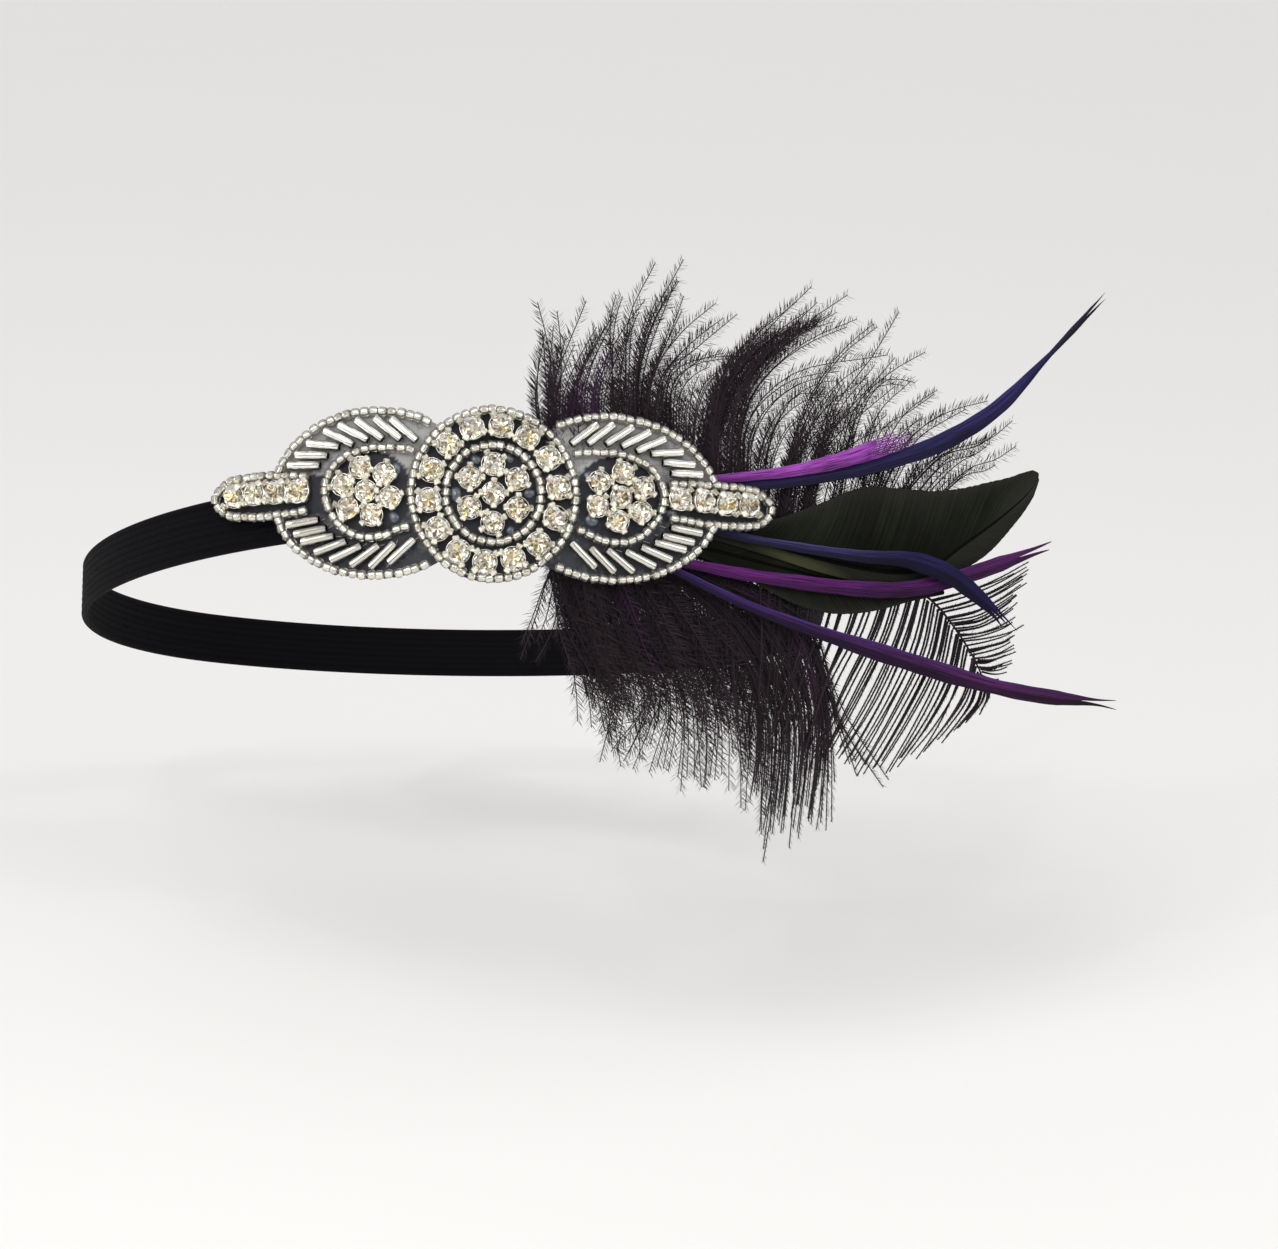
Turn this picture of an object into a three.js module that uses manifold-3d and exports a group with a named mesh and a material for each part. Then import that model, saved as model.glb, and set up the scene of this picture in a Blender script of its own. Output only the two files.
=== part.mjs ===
// A flapper headband: a ribbed elastic loop, a beaded applique at its front and a fan of feathers
// tucked under the applique's right half. Millimetres, +Z up, -Y is the front of the head.
import * as THREE from 'three';
import { mergeVertices } from 'three/addons/utils/BufferGeometryUtils.js';
import Module from 'manifold-3d';

const wasm = await Module();
wasm.setup();

// Driving dimensions
const headRadius = 89;
const wearTilt = THREE.MathUtils.degToRad(22);
const gap = 0.35;

const band = { width: 12.7, wall: 1.5, ribs: 8, ribDepth: 0.4, steps: 44 };
const dip = { depth: 13, from: 15, to: 140, ease: 1.2 };
const plate = { wall: 1.2, half: 63.6, rise: 2.2, crown: 180, slack: 0.25, margin: 0.57 };
const plateGrid = { columns: 34, rows: 3 };
const plateTip = { lift: 11, ease: 1.5, tail: 1.1, high: 4.1, taper: 9 };
const bead = { radius: 0.95, sides: 8, step: 5.6 };
const medallion = { rimAlong: 17.5, rimUp: 18.7, innerAlong: 10.2, innerUp: 10.7, stones: 14, first: 6.5 };
const medallionStones = { along: 13.9, up: 15.1, heartAlong: 5.9, heartUp: 6.4, heart: 6, heartFirst: 30 };
const leaf = { centre: 25.4, along: 22.7, up: 18.2, start: 15 };
const disc = { along: 27.2, up: 0.3, stoneRing: 5.45, stones: 6 };
const discTurn = { left: -16, right: 25, centre: 15 };
const tip = { stoneLift: 0.1, strip: 0.9, stripWall: 0.3 };
const tipShift = { left: 0, right: -2.6 };
const bugle = { length: 7.6, radius: 0.88, sides: 10, thread: 0.9, threadWall: 0.3 };
const stone = { sides: 8, clawTurn: 45, nestTurn: 30 };
const fan = { angle: THREE.MathUtils.degToRad(22), radius: 93, crown: 320 };

// A stone in its claw setting from the foot up, with each level's size at the claws and between them
const stoneLevels = [
  { clawReach: 2.3, clawTop: 0, reach: 2.3, top: 0 },
  { clawReach: 2.7, clawTop: 1.3, reach: 2.45, top: 1.3 },
  { clawReach: 3.1, clawTop: 2.35, reach: 2.4, top: 1.5 },
  { clawReach: 2.3, clawTop: 2.55, reach: 2.15, top: 1.7 },
  { clawReach: 1.4, clawTop: 2.5, reach: 1.4, top: 2.5 },
];

// Bugles of a leaf's upper and lower fields: the middle of each on the plate and its slant
const bugleRows = {
  top: [
    { along: 19.3, up: 13.9, slant: 39 },
    { along: 22.8, up: 14.1, slant: 38 },
    { along: 26.8, up: 14.0, slant: 35 },
    { along: 30.3, up: 13.4, slant: 28 },
    { along: 33.5, up: 12.3, slant: 24 },
    { along: 37.0, up: 10.8, slant: 8 },
    { along: 39.5, up: 8.6, slant: 3 },
    { along: 41.2, up: 6.4, slant: 3 },
  ],
  bottom: [
    { along: 19.4, up: -12.9, slant: -43 },
    { along: 23.5, up: -13.8, slant: -43 },
    { along: 27.3, up: -13.8, slant: -36 },
    { along: 31.5, up: -13.2, slant: -24 },
    { along: 34.9, up: -11.8, slant: -18 },
    { along: 37.8, up: -10.0, slant: -9 },
    { along: 39.5, up: -8.3, slant: -11 },
    { along: 41.2, up: -6.25, slant: -7 },
  ],
};

// The strand round a disc, open towards the medallion
const discStrand = [
  { along: 18.7, up: 9.7 },
  { along: 23.0, up: 10.0 },
  { along: 27.0, up: 9.8 },
  { along: 30.2, up: 8.9 },
  { along: 33.3, up: 7.2 },
  { along: 35.5, up: 4.4 },
  { along: 36.4, up: 1.0 },
  { along: 35.8, up: -2.4 },
  { along: 34.3, up: -5.4 },
  { along: 32.2, up: -7.8 },
  { along: 29.2, up: -9.5 },
  { along: 26.2, up: -9.9 },
  { along: 23.2, up: -9.5 },
  { along: 21.0, up: -8.6 },
  { along: 19.7, up: -7.7 },
];

// The strand round a tip, from its disc out to the point and back
const tipStrand = [
  { along: 40.2, up: 3.9 },
  { along: 47.0, up: 4.25 },
  { along: 54.0, up: 4.3 },
  { along: 60.2, up: 3.4 },
  { along: 63.1, up: 0.1 },
  { along: 60.2, up: -3.5 },
  { along: 54.0, up: -4.5 },
  { along: 47.0, up: -4.4 },
  { along: 40.2, up: -3.75 },
];
const tipStones = [42.6, 47.8, 53.0, 58.1];

// Biots, by the places that each one's middle line passes on the fan and its widths by share of length
const biots = [
  { name: 'biot_purple_top', colour: 0x5a1a78, layer: 2.9, curl: 3,
    route: [[9, 7.5], [36, 12.3], [51.2, 16.6], [66.6, 22.6], [73, 25.8]],
    widths: [[0, 1.8], [0.2, 2.1], [0.4, 2.6], [0.6, 3.5], [0.8, 4.4], [0.92, 3.4], [1, 0.5]] },
  { name: 'biot_navy_top', colour: 0x1f1f5c, layer: 2.1, curl: 9,
    route: [[9, 5.5], [41, 11], [63.5, 17.2], [79.4, 23.6], [93.5, 32.4], [108, 46], [127, 64.5]],
    widths: [[0, 1.8], [0.2, 2.6], [0.4, 3.7], [0.5, 4.1], [0.6, 4.2], [0.7, 3.2], [0.76, 2.2], [0.82, 1.1],
      [0.89, 1.5], [0.95, 1.4], [1, 0.3]] },
  { name: 'biot_navy_middle', colour: 0x1f1f5c, layer: 2.9, curl: 5,
    route: [[9, -2], [25.5, -4], [54.5, -5.8], [68.3, -5.8], [78.6, -8.3], [85.6, -12.3], [97.5, -21.6]],
    widths: [[0, 1.6], [0.2, 1.9], [0.36, 2.3], [0.5, 2.8], [0.6, 3.5], [0.68, 4.6], [0.75, 4.9], [0.82, 4.3],
      [0.9, 2.9], [0.96, 1.6], [1, 0.3]] },
  { name: 'biot_purple_middle', colour: 0x5a1a78, layer: 2.1, curl: 2,
    route: [[9, -10.5], [24.6, -12], [55.8, -13.1], [69.9, -12.1], [84.1, -8.3], [110, 1.2]],
    widths: [[0, 2.2], [0.3, 3.3], [0.5, 3.7], [0.7, 3.8], [0.85, 3.6], [0.92, 2.5], [1, 0.4]] },
  { name: 'biot_purple_bottom', colour: 0x4a1666, layer: 2.9, curl: 6,
    route: [[9, -13.6], [27.8, -19.8], [62.4, -27.8], [98, -34.4], [130, -36.4]],
    widths: [[0, 1.6], [0.12, 2.0], [0.33, 3.0], [0.46, 4.2], [0.6, 4.3], [0.72, 3.6], [0.85, 3.6],
      [0.9, 2.3], [0.94, 1.4], [1, 0.3]] },
];

// Coque feathers, a row for each station: the quill's height on the fan and the vane to either side
const coques = [
  { name: 'coque_feather_upper', layer: 1.2, stations: [
    { along: 10, quill: -2, above: 1.4, below: 1.4 },
    { along: 33, quill: -5, above: 6.3, below: 2.5 },
    { along: 46, quill: -7, above: 13.2, below: 3 },
    { along: 57, quill: -8.3, above: 19, below: 3 },
    { along: 68, quill: -8.5, above: 20, below: 2.5 },
    { along: 77, quill: -6.5, above: 18.2, below: 3 },
    { along: 86, quill: -0.5, above: 13.7, below: 5.7 },
    { along: 94, quill: 4.9, above: 10.5, below: 6 },
    { along: 100, quill: 9.3, above: 7.8, below: 4.5 },
    { along: 105, quill: 13.5, above: 5.4, below: 3 },
    { along: 107, quill: 15.8, above: 3.6, below: 2.4 },
    { along: 108.4, quill: 17.8, above: 1.2, below: 1.2 } ] },
  { name: 'coque_feather_lower', layer: 0.3, stations: [
    { along: 10, quill: -6, above: 1.4, below: 1.4 },
    { along: 25, quill: -8, above: 3.5, below: 4 },
    { along: 40, quill: -10, above: 5, below: 7.6 },
    { along: 50, quill: -11, above: 6, below: 8 },
    { along: 62, quill: -11, above: 6, below: 6.5 },
    { along: 72, quill: -11, above: 4, below: 3.6 },
    { along: 81, quill: -11.5, above: 0.9, below: 0.9 } ] },
];

// Plumes: a shaft on the fan and the vanes of locks that leave it, each from one stretch of the
// shaft towards a line of tips
const plumes = [
  { name: 'plume_outer', layer: -0.6, shaft: [[3, -3], [30, -4], [60, -8], [75, -14.5], [86, -23], [93, -34]],
    vanes: [
      { locks: 14, width: 6.4, from: 0.04, to: 0.98, bow: 0.1,
        tips: [[14, 42], [41, 55], [66, 52], [90, 35], [104, 18], [109, 2], [106, -15], [98, -29]] },
      { locks: 9, width: 5.6, from: 0.3, to: 0.99, bow: 0.1,
        tips: [[46, -62], [62, -58], [74, -50], [84, -43], [92, -39]] } ] },
  { name: 'plume_lower', layer: -1.6, shaft: [[2, -8], [8, -19], [31, -35], [42, -46]],
    vanes: [
      { locks: 9, width: 8.5, from: 0.05, to: 0.97, bow: 0.12,
        tips: [[-30, -33], [-20, -44], [-8, -52], [8, -58], [20, -65], [33, -75], [42, -71]] },
      { locks: 5, width: 7, from: 0.3, to: 0.97, bow: 0.1,
        tips: [[36, -30], [46, -46], [50, -62], [46, -70]] } ] },
  { name: 'plume_upper', layer: -1.6, shaft: [[10, 4], [4, 14], [-8, 19], [-17, 24]],
    vanes: [
      { locks: 9, width: 6.4, from: 0.06, to: 0.98, bow: 0.1,
        tips: [[49, 49], [32, 50], [21, 46], [8, 57], [0, 56], [-13, 47], [-27, 44]] } ] },
];
const lock = { wall: 0.7, steps: 3, rootShare: 0.3, rootEase: 2.4, tipShare: 0.12, tipEase: 1.7 };
const shaftWire = { width: 1.6, wall: 0.8, steps: 10 };
const strip = { wall: 0.55, steps: 16 };
const vane = { face: 0.22, quill: 0.39 };

// Colours and finishes
const black = 0x101014;
const clothDark = 0x1a1c28;
const silver = 0xd4d2cc;
const crystal = 0xe8e2d4;
const greenBlack = 0x141a12;
const plumeBlack = 0x120e14;
const weld = 1e-3;
const smallFace = 0.01;

function finish(colour, roughness, metalness) {
  return new THREE.MeshStandardMaterial({ color: colour, roughness, metalness });
}

// Closed solid through sections of equal point counts, either a ring or a run with two flat ends
function loft(sections, ring) {
  const points = sections.flat();
  const sides = sections[0].length;
  const runs = ring ? sections.length : sections.length - 1;
  const faces = [];
  for (let run = 0; run < runs; run++) {
    const here = run * sides;
    const there = ((run + 1) % sections.length) * sides;
    for (let side = 0; side < sides; side++) {
      const next = (side + 1) % sides;
      faces.push(here + side, here + next, there + next);
      faces.push(here + side, there + next, there + side);
    }
  }
  const last = (sections.length - 1) * sides;
  for (let side = 1; side < sides - 1 && !ring; side++) {
    faces.push(0, side + 1, side);
    faces.push(last, last + side, last + side + 1);
  }
  const geometry = new THREE.BufferGeometry().setFromPoints(points);
  geometry.setIndex(signedVolume(points, faces) < 0 ? faces.reverse() : faces);
  return geometry;
}

function signedVolume(points, faces) {
  let volume = 0;
  const normal = new THREE.Vector3();
  for (let i = 0; i < faces.length; i += 3) {
    normal.crossVectors(points[faces[i + 1]], points[faces[i + 2]]);
    volume += normal.dot(points[faces[i]]) / 6;
  }
  return volume;
}

// One body from several closed geometries
function fuse(geometries) {
  const solids = geometries.map((geometry) => {
    const bare = geometry.clone();
    bare.deleteAttribute('normal');
    bare.deleteAttribute('uv');
    const welded = mergeVertices(bare, weld);
    const vertProperties = new Float32Array(welded.attributes.position.array);
    const triVerts = new Uint32Array(welded.index.array);
    return new wasm.Manifold(new wasm.Mesh({ numProp: 3, vertProperties, triVerts }));
  });
  const joined = solids.reduce((sum, solid) => sum.add(solid)).simplify(smallFace).getMesh();
  const geometry = new THREE.BufferGeometry();
  geometry.setAttribute('position', new THREE.BufferAttribute(new Float32Array(joined.vertProperties), 3));
  geometry.setIndex(Array.from(joined.triVerts));
  return geometry;
}

// A place on the upright loop: angle from the front towards the right, height and radius
function loopPoint(angle, height, radius) {
  return new THREE.Vector3(radius * Math.sin(angle), -radius * Math.cos(angle), height);
}

// How far the band sinks towards the nape at an angle from the front
function bandDip(angle) {
  const turn = Math.abs(THREE.MathUtils.radToDeg(angle));
  const share = THREE.MathUtils.clamp((turn - dip.from) / (dip.to - dip.from), 0, 1);
  return -dip.depth * Math.sin(share * Math.PI / 2) ** dip.ease;
}

const plateRadius = headRadius + band.wall + gap + plate.slack;

// A place on the applique: along it and up from the medallion's centre, and off the plate's back
function platePoint(along, up, off) {
  const lift = plateTip.lift * (Math.max(along, 0) / plate.half) ** plateTip.ease;
  const radius = plateRadius + lift - up * up / (2 * plate.crown) + off;
  return loopPoint(along / plateRadius, up + plate.rise, radius);
}

// The frame of the applique at a place: X along it, Y up and Z outward
function plateFrame(along, up, off) {
  const step = 0.1;
  const x = platePoint(along + step, up, off).sub(platePoint(along - step, up, off)).normalize();
  const rise = platePoint(along, up + step, off).sub(platePoint(along, up - step, off));
  const z = new THREE.Vector3().crossVectors(x, rise).normalize();
  const y = new THREE.Vector3().crossVectors(z, x);
  return new THREE.Matrix4().makeBasis(x, y, z).setPosition(platePoint(along, up, off));
}

const hubTangent = loopPoint(fan.angle + Math.PI / 2, 0, 1);

// A place on the feathers' fan, which leaves the loop on its tangent at the hub
function fanPoint(along, up, off) {
  const angle = fan.angle + Math.min(along, 0) / fan.radius;
  const radius = fan.radius + off - up * up / (2 * fan.crown);
  return loopPoint(angle, up, radius).addScaledVector(hubTangent, Math.max(along, 0));
}

const ringAngle = (index, count, first) => THREE.MathUtils.degToRad(first + 360 * index / count);
const beadLevel = plate.wall + gap + bead.radius;
const stoneLevel = plate.wall + gap;

const headband = new THREE.Group();
headband.rotation.x = -wearTilt;

function addMesh(name, geometry, material, matrix = new THREE.Matrix4()) {
  const mesh = new THREE.Mesh(geometry, material);
  mesh.name = name;
  matrix.decompose(mesh.position, mesh.quaternion, mesh.scale);
  headband.add(mesh);
}

// The elastic loop, with its ribs on the outer face
function bandSection(angle) {
  const outer = headRadius + band.wall;
  const profile = [[headRadius, band.width / 2], [headRadius, -band.width / 2]];
  for (let edge = 0; edge <= 2 * band.ribs; edge++) {
    const height = band.width * (edge / (2 * band.ribs) - 0.5);
    profile.push([outer - (edge % 2 ? 0 : band.ribDepth), height]);
  }
  return profile.map(([radius, height]) => loopPoint(angle, height + bandDip(angle), radius));
}

const bandAngles = Array.from({ length: band.steps }, (_, step) => 2 * Math.PI * step / band.steps - Math.PI);
addMesh('elastic_band', loft(bandAngles.map(bandSection), true), finish(black, 0.9, 0));

// The applique's backing plate: three overlapping rounds and two tips
const ellipse = (x, across, high) => high * Math.sqrt(Math.max(0, 1 - (x / across) ** 2));

function plateHalfHeight(along) {
  const x = Math.abs(along);
  const half = plate.half + (along < 0 ? tipShift.left : tipShift.right);
  const taper = THREE.MathUtils.clamp((half - x) / plateTip.taper, 0, 1);
  return Math.max(
    plateTip.tail + plateTip.high * Math.sin(taper * Math.PI / 2),
    ellipse(x, medallion.rimAlong + plate.margin, medallion.rimUp + plate.margin),
    ellipse(x - leaf.centre, leaf.along + plate.margin, leaf.up + plate.margin),
  );
}

function plateSection(along) {
  const high = plateHalfHeight(along);
  const rows = Array.from({ length: plateGrid.rows + 1 }, (_, row) => high * (2 * row / plateGrid.rows - 1));
  const front = rows.map((up) => platePoint(along, up, plate.wall));
  const back = rows.reverse().map((up) => platePoint(along, up, 0));
  return [...front, ...back];
}

const plateEnds = [-plate.half - tipShift.left, plate.half + tipShift.right];
const plateColumns = Array.from({ length: plateGrid.columns + 1 },
  (_, column) => THREE.MathUtils.lerp(...plateEnds, column / plateGrid.columns));
addMesh('applique_base', loft(plateColumns.map(plateSection), false), finish(clothDark, 0.85, 0));

// Strands of seed beads as tubes lying on the plate
class PlateCurve extends THREE.Curve {
  constructor(route) {
    super();
    this.route = route;
  }

  getPoint(t, target = new THREE.Vector3()) {
    const [along, up] = this.route(t);
    return target.copy(platePoint(along, up, beadLevel));
  }
}

function ringStrand(along, up) {
  const curve = new PlateCurve((t) => {
    const turn = 2 * Math.PI * t;
    return [along * Math.cos(turn), up * Math.sin(turn)];
  });
  const steps = Math.round(curve.getLength() / bead.step);
  const tube = new THREE.TubeGeometry(curve, steps, bead.radius, bead.sides, true);
  tube.deleteAttribute('normal');
  tube.deleteAttribute('uv');
  return mergeVertices(tube, weld);
}

function openStrand(route) {
  const curve = new PlateCurve(route);
  const round = new THREE.Shape();
  for (let side = 0; side < bead.sides; side++) {
    const turn = 2 * Math.PI * side / bead.sides;
    const move = side ? 'lineTo' : 'moveTo';
    round[move](bead.radius * Math.cos(turn), bead.radius * Math.sin(turn));
  }
  const steps = Math.round(curve.getLength() / bead.step);
  return new THREE.ExtrudeGeometry(round, { steps, bevelEnabled: false, extrudePath: curve });
}

// Angle on a leaf's outline where its strand stops short of the medallion's rim
function leafStop() {
  const reach = 2 * bead.radius + gap;
  let turn = Math.PI / 2;
  let clear = true;
  while (clear) {
    turn += 0.005;
    const x = leaf.centre + leaf.along * Math.cos(turn);
    const y = leaf.up * Math.sin(turn);
    clear = Math.hypot(x / (medallion.rimAlong + reach), y / (medallion.rimUp + reach)) > 1;
  }
  return turn;
}

// A strand through a table of places, on either side of the medallion and shifted along it
function tableStrand(places, side, shift) {
  const outline = new THREE.CatmullRomCurve3(places.map(({ along, up }) => new THREE.Vector3(along, up, 0)));
  return openStrand((t) => {
    const place = outline.getPointAt(t);
    return [side * (place.x + shift), place.y];
  });
}

function leafRim(side, shift) {
  const start = THREE.MathUtils.degToRad(leaf.start);
  const stop = leafStop();
  const arcs = [1, -1].map((half) => openStrand((t) => {
    const turn = THREE.MathUtils.lerp(start, stop, t);
    return [side * (leaf.centre + leaf.along * Math.cos(turn)), half * leaf.up * Math.sin(turn)];
  }));
  return fuse([tableStrand(tipStrand, side, shift), ...arcs]);
}

const beadFinish = () => finish(silver, 0.2, 0.6);
addMesh('medallion_rim', ringStrand(medallion.rimAlong, medallion.rimUp), beadFinish());
addMesh('medallion_inner_rim', ringStrand(medallion.innerAlong, medallion.innerUp), beadFinish());
const sides = [{ label: 'left', sign: -1 }, { label: 'right', sign: 1 }];
for (const { label, sign } of sides) {
  addMesh(`${label}_disc_rim`, fuse([tableStrand(discStrand, sign, 0)]), beadFinish());
  addMesh(`${label}_leaf_rim`, leafRim(sign, tipShift[label]), beadFinish());
}

// A strip of thread on the plate through a row of places
function threadStrip(places, width, wall) {
  const sections = places.map(([along, up], index) => {
    const before = places[Math.max(index - 1, 0)];
    const after = places[Math.min(index + 1, places.length - 1)];
    const heading = Math.atan2(after[1] - before[1], after[0] - before[0]);
    const corners = [[-1, 0], [1, 0], [1, 1], [-1, 1]];
    return corners.map(([across, level]) => platePoint(
      along - across * width / 2 * Math.sin(heading),
      up + across * width / 2 * Math.cos(heading),
      stoneLevel + level * wall,
    ));
  });
  return loft(sections, false);
}

// Bugles of one field of a leaf, sewn on one thread
function bugleField(sign, rows) {
  const places = rows.map(({ along, up }) => [sign * along, up]);
  const tubes = rows.map(({ slant }, index) => {
    const tube = new THREE.CylinderGeometry(bugle.radius, bugle.radius, bugle.length, bugle.sides);
    const turn = Math.PI / 2 + sign * THREE.MathUtils.degToRad(slant);
    tube.applyMatrix4(new THREE.Matrix4().makeRotationZ(turn));
    tube.applyMatrix4(plateFrame(...places[index], stoneLevel + bugle.radius));
    return tube;
  });
  return fuse([threadStrip(places, bugle.thread, bugle.threadWall), ...tubes]);
}

for (const { label, sign } of sides) {
  for (const [place, rows] of Object.entries(bugleRows)) {
    addMesh(`${label}_${place}_bugles`, bugleField(sign, rows), finish(silver, 0.15, 0.7));
  }
}

// A cut stone in its claw setting, standing on the plate: a claw at every other corner
function cutStone() {
  const sections = stoneLevels.map(({ clawReach, clawTop, reach, top }) => {
    return Array.from({ length: stone.sides }, (_, corner) => {
      const turn = 2 * Math.PI * corner / stone.sides;
      const far = corner % 2 ? reach : clawReach;
      return new THREE.Vector3(far * Math.cos(turn), far * Math.sin(turn), corner % 2 ? top : clawTop);
    });
  });
  return loft(sections, false);
}

const stoneGeometry = cutStone();
const stoneFinish = () => finish(crystal, 0.08, 0.3);
const clawTurn = THREE.MathUtils.degToRad(stone.clawTurn);
const nestTurn = THREE.MathUtils.degToRad(stone.nestTurn);

function addStone(name, along, up, turn) {
  const matrix = plateFrame(along, up, stoneLevel);
  matrix.multiply(new THREE.Matrix4().makeRotationZ(turn));
  addMesh(name, stoneGeometry.clone(), stoneFinish(), matrix);
}

function addStoneRing(label, centre, reach, count, first, claws) {
  for (let index = 0; index < count; index++) {
    const turn = ringAngle(index, count, first);
    const number = String(index + 1).padStart(2, '0');
    const place = [centre[0] + reach[0] * Math.cos(turn), centre[1] + reach[1] * Math.sin(turn)];
    addStone(`${label}_${number}`, ...place, turn + claws);
  }
}

const ringReach = [medallionStones.along, medallionStones.up];
const heartReach = [medallionStones.heartAlong, medallionStones.heartUp];
addStoneRing('medallion_stone', [0, 0], ringReach, medallion.stones, medallion.first, clawTurn);
addStoneRing('heart_stone', [0, 0], heartReach, medallionStones.heart, medallionStones.heartFirst, nestTurn);
addStone('heart_stone_centre', 0, 0, 0);
for (const { label, sign } of sides) {
  const first = discTurn[label];
  const centre = [sign * disc.along, disc.up];
  const reach = [disc.stoneRing, disc.stoneRing];
  addStoneRing(`${label}_disc_stone`, centre, reach, disc.stones, first, nestTurn);
  addStone(`${label}_disc_stone_centre`, ...centre, THREE.MathUtils.degToRad(first + discTurn.centre));
}

// The row of stones along each tip, on one strip
for (const { label, sign } of sides) {
  const places = tipStones.map((along) => [sign * (along + tipShift[label]), tip.stoneLift]);
  const row = places.map((place) => {
    const matrix = plateFrame(...place, stoneLevel).multiply(new THREE.Matrix4().makeRotationZ(clawTurn));
    return stoneGeometry.clone().applyMatrix4(matrix);
  });
  const sewn = fuse([threadStrip(places, tip.strip, tip.stripWall), ...row]);
  addMesh(`${label}_tip_stones`, sewn, stoneFinish());
}

// Flat feather strip along a route on the fan, with its width and its lift off the fan by share of length
function featherStrip(route, steps, wall, layer, widthAt, liftAt) {
  const curve = new THREE.CatmullRomCurve3(route.map(([along, up]) => new THREE.Vector3(along, up, 0)));
  const sections = Array.from({ length: steps + 1 }, (_, step) => {
    const share = step / steps;
    const place = curve.getPointAt(share);
    const heading = curve.getTangentAt(share);
    const half = widthAt(share) / 2;
    const off = layer + liftAt(share);
    const across = (amount, level) => fanPoint(
      place.x - amount * half * heading.y, place.y + amount * half * heading.x, off + level * wall / 2);
    return [across(1, 0), across(0, 1), across(-1, 0), across(0, -1)];
  });
  return loft(sections, false);
}

const flat = () => 0;

function tableWidth(widths, share) {
  const after = Math.max(1, widths.findIndex(([place]) => place >= share));
  const [[fromShare, fromWidth], [toShare, toWidth]] = [widths[after - 1], widths[after]];
  return THREE.MathUtils.mapLinear(share, fromShare, toShare, fromWidth, toWidth);
}

for (const { name, colour, layer, curl, route, widths } of biots) {
  const widthAt = (share) => tableWidth(widths, share);
  const liftAt = (share) => curl * share ** 2;
  addMesh(name, featherStrip(route, strip.steps, strip.wall, layer, widthAt, liftAt), finish(colour, 0.6, 0));
}

for (const { name, layer, stations } of coques) {
  const sections = stations.map(({ along, quill, above, below }) => {
    const ups = [quill - below, quill, quill + above];
    const front = ups.map((up, index) => fanPoint(along, up, layer + (index === 1 ? vane.quill : vane.face)));
    const back = ups.reverse().map((up) => fanPoint(along, up, layer - vane.face));
    return [...front, ...back];
  });
  addMesh(name, loft(sections, false), finish(greenBlack, 0.5, 0));
}

// A plume: locks curving from the shaft to their tips, fused to it
function plumeBody({ layer, shaft, vanes }) {
  const spine = new THREE.CatmullRomCurve3(shaft.map(([along, up]) => new THREE.Vector3(along, up, 0)));
  const bodies = [featherStrip(shaft, shaftWire.steps, shaftWire.wall, layer, () => shaftWire.width, flat)];
  for (const { locks, width, from, to, bow, tips } of vanes) {
    const rootTaper = (share) => Math.min(1, lock.rootShare + lock.rootEase * share);
    const tipTaper = (share) => Math.min(1, lock.tipShare + lock.tipEase * (1 - share));
    const lockWidth = (share) => width * rootTaper(share) * tipTaper(share);
    const tipLine = new THREE.CatmullRomCurve3(tips.map(([along, up]) => new THREE.Vector3(along, up, 0)));
    for (let index = 0; index < locks; index++) {
      const share = index / (locks - 1);
      const root = spine.getPointAt(THREE.MathUtils.lerp(from, to, share));
      const end = tipLine.getPointAt(share);
      const middle = root.clone().lerp(end, 0.5);
      middle.x -= bow * (end.y - root.y);
      middle.y += bow * (end.x - root.x);
      const route = [root, middle, end].map(({ x, y }) => [x, y]);
      bodies.push(featherStrip(route, lock.steps, lock.wall, layer, lockWidth, flat));
    }
  }
  return fuse(bodies);
}

for (const plume of plumes) {
  addMesh(plume.name, plumeBody(plume), finish(plumeBlack, 0.95, 0));
}

export default headband;
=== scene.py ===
import math
import bpy
import numpy as np
from mathutils import Matrix, Vector


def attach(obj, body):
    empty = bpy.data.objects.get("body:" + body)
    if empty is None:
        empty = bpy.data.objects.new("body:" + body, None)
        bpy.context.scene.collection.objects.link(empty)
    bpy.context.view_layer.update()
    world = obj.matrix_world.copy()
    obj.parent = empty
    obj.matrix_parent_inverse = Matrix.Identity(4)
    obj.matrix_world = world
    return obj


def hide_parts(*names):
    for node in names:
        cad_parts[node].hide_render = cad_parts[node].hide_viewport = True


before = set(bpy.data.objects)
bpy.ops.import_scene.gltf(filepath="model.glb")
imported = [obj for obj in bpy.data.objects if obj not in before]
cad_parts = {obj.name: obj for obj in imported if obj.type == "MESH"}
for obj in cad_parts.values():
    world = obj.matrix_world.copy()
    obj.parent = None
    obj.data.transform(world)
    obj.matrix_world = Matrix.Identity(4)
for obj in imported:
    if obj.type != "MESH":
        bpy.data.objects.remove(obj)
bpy.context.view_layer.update()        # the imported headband, which stays as it is
print("frame:", len(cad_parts), "nodes")

# Camera, at the picture's viewing angle; the loop's centre falls on one pixel of the picture
picture = {"width": 1278, "height": 1249, "centreX": 455, "centreY": 561, "pixelsPerMm": 4.05}
shot = {"azimuth": -8.5, "elevation": 15.0, "roll": 3.7, "distance": 800.0, "sensor": 36.0,
        "near": 0.05, "far": 100}


def addObject(name, data):
    piece = bpy.data.objects.new(name, data)
    bpy.context.scene.collection.objects.link(piece)
    return piece


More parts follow.
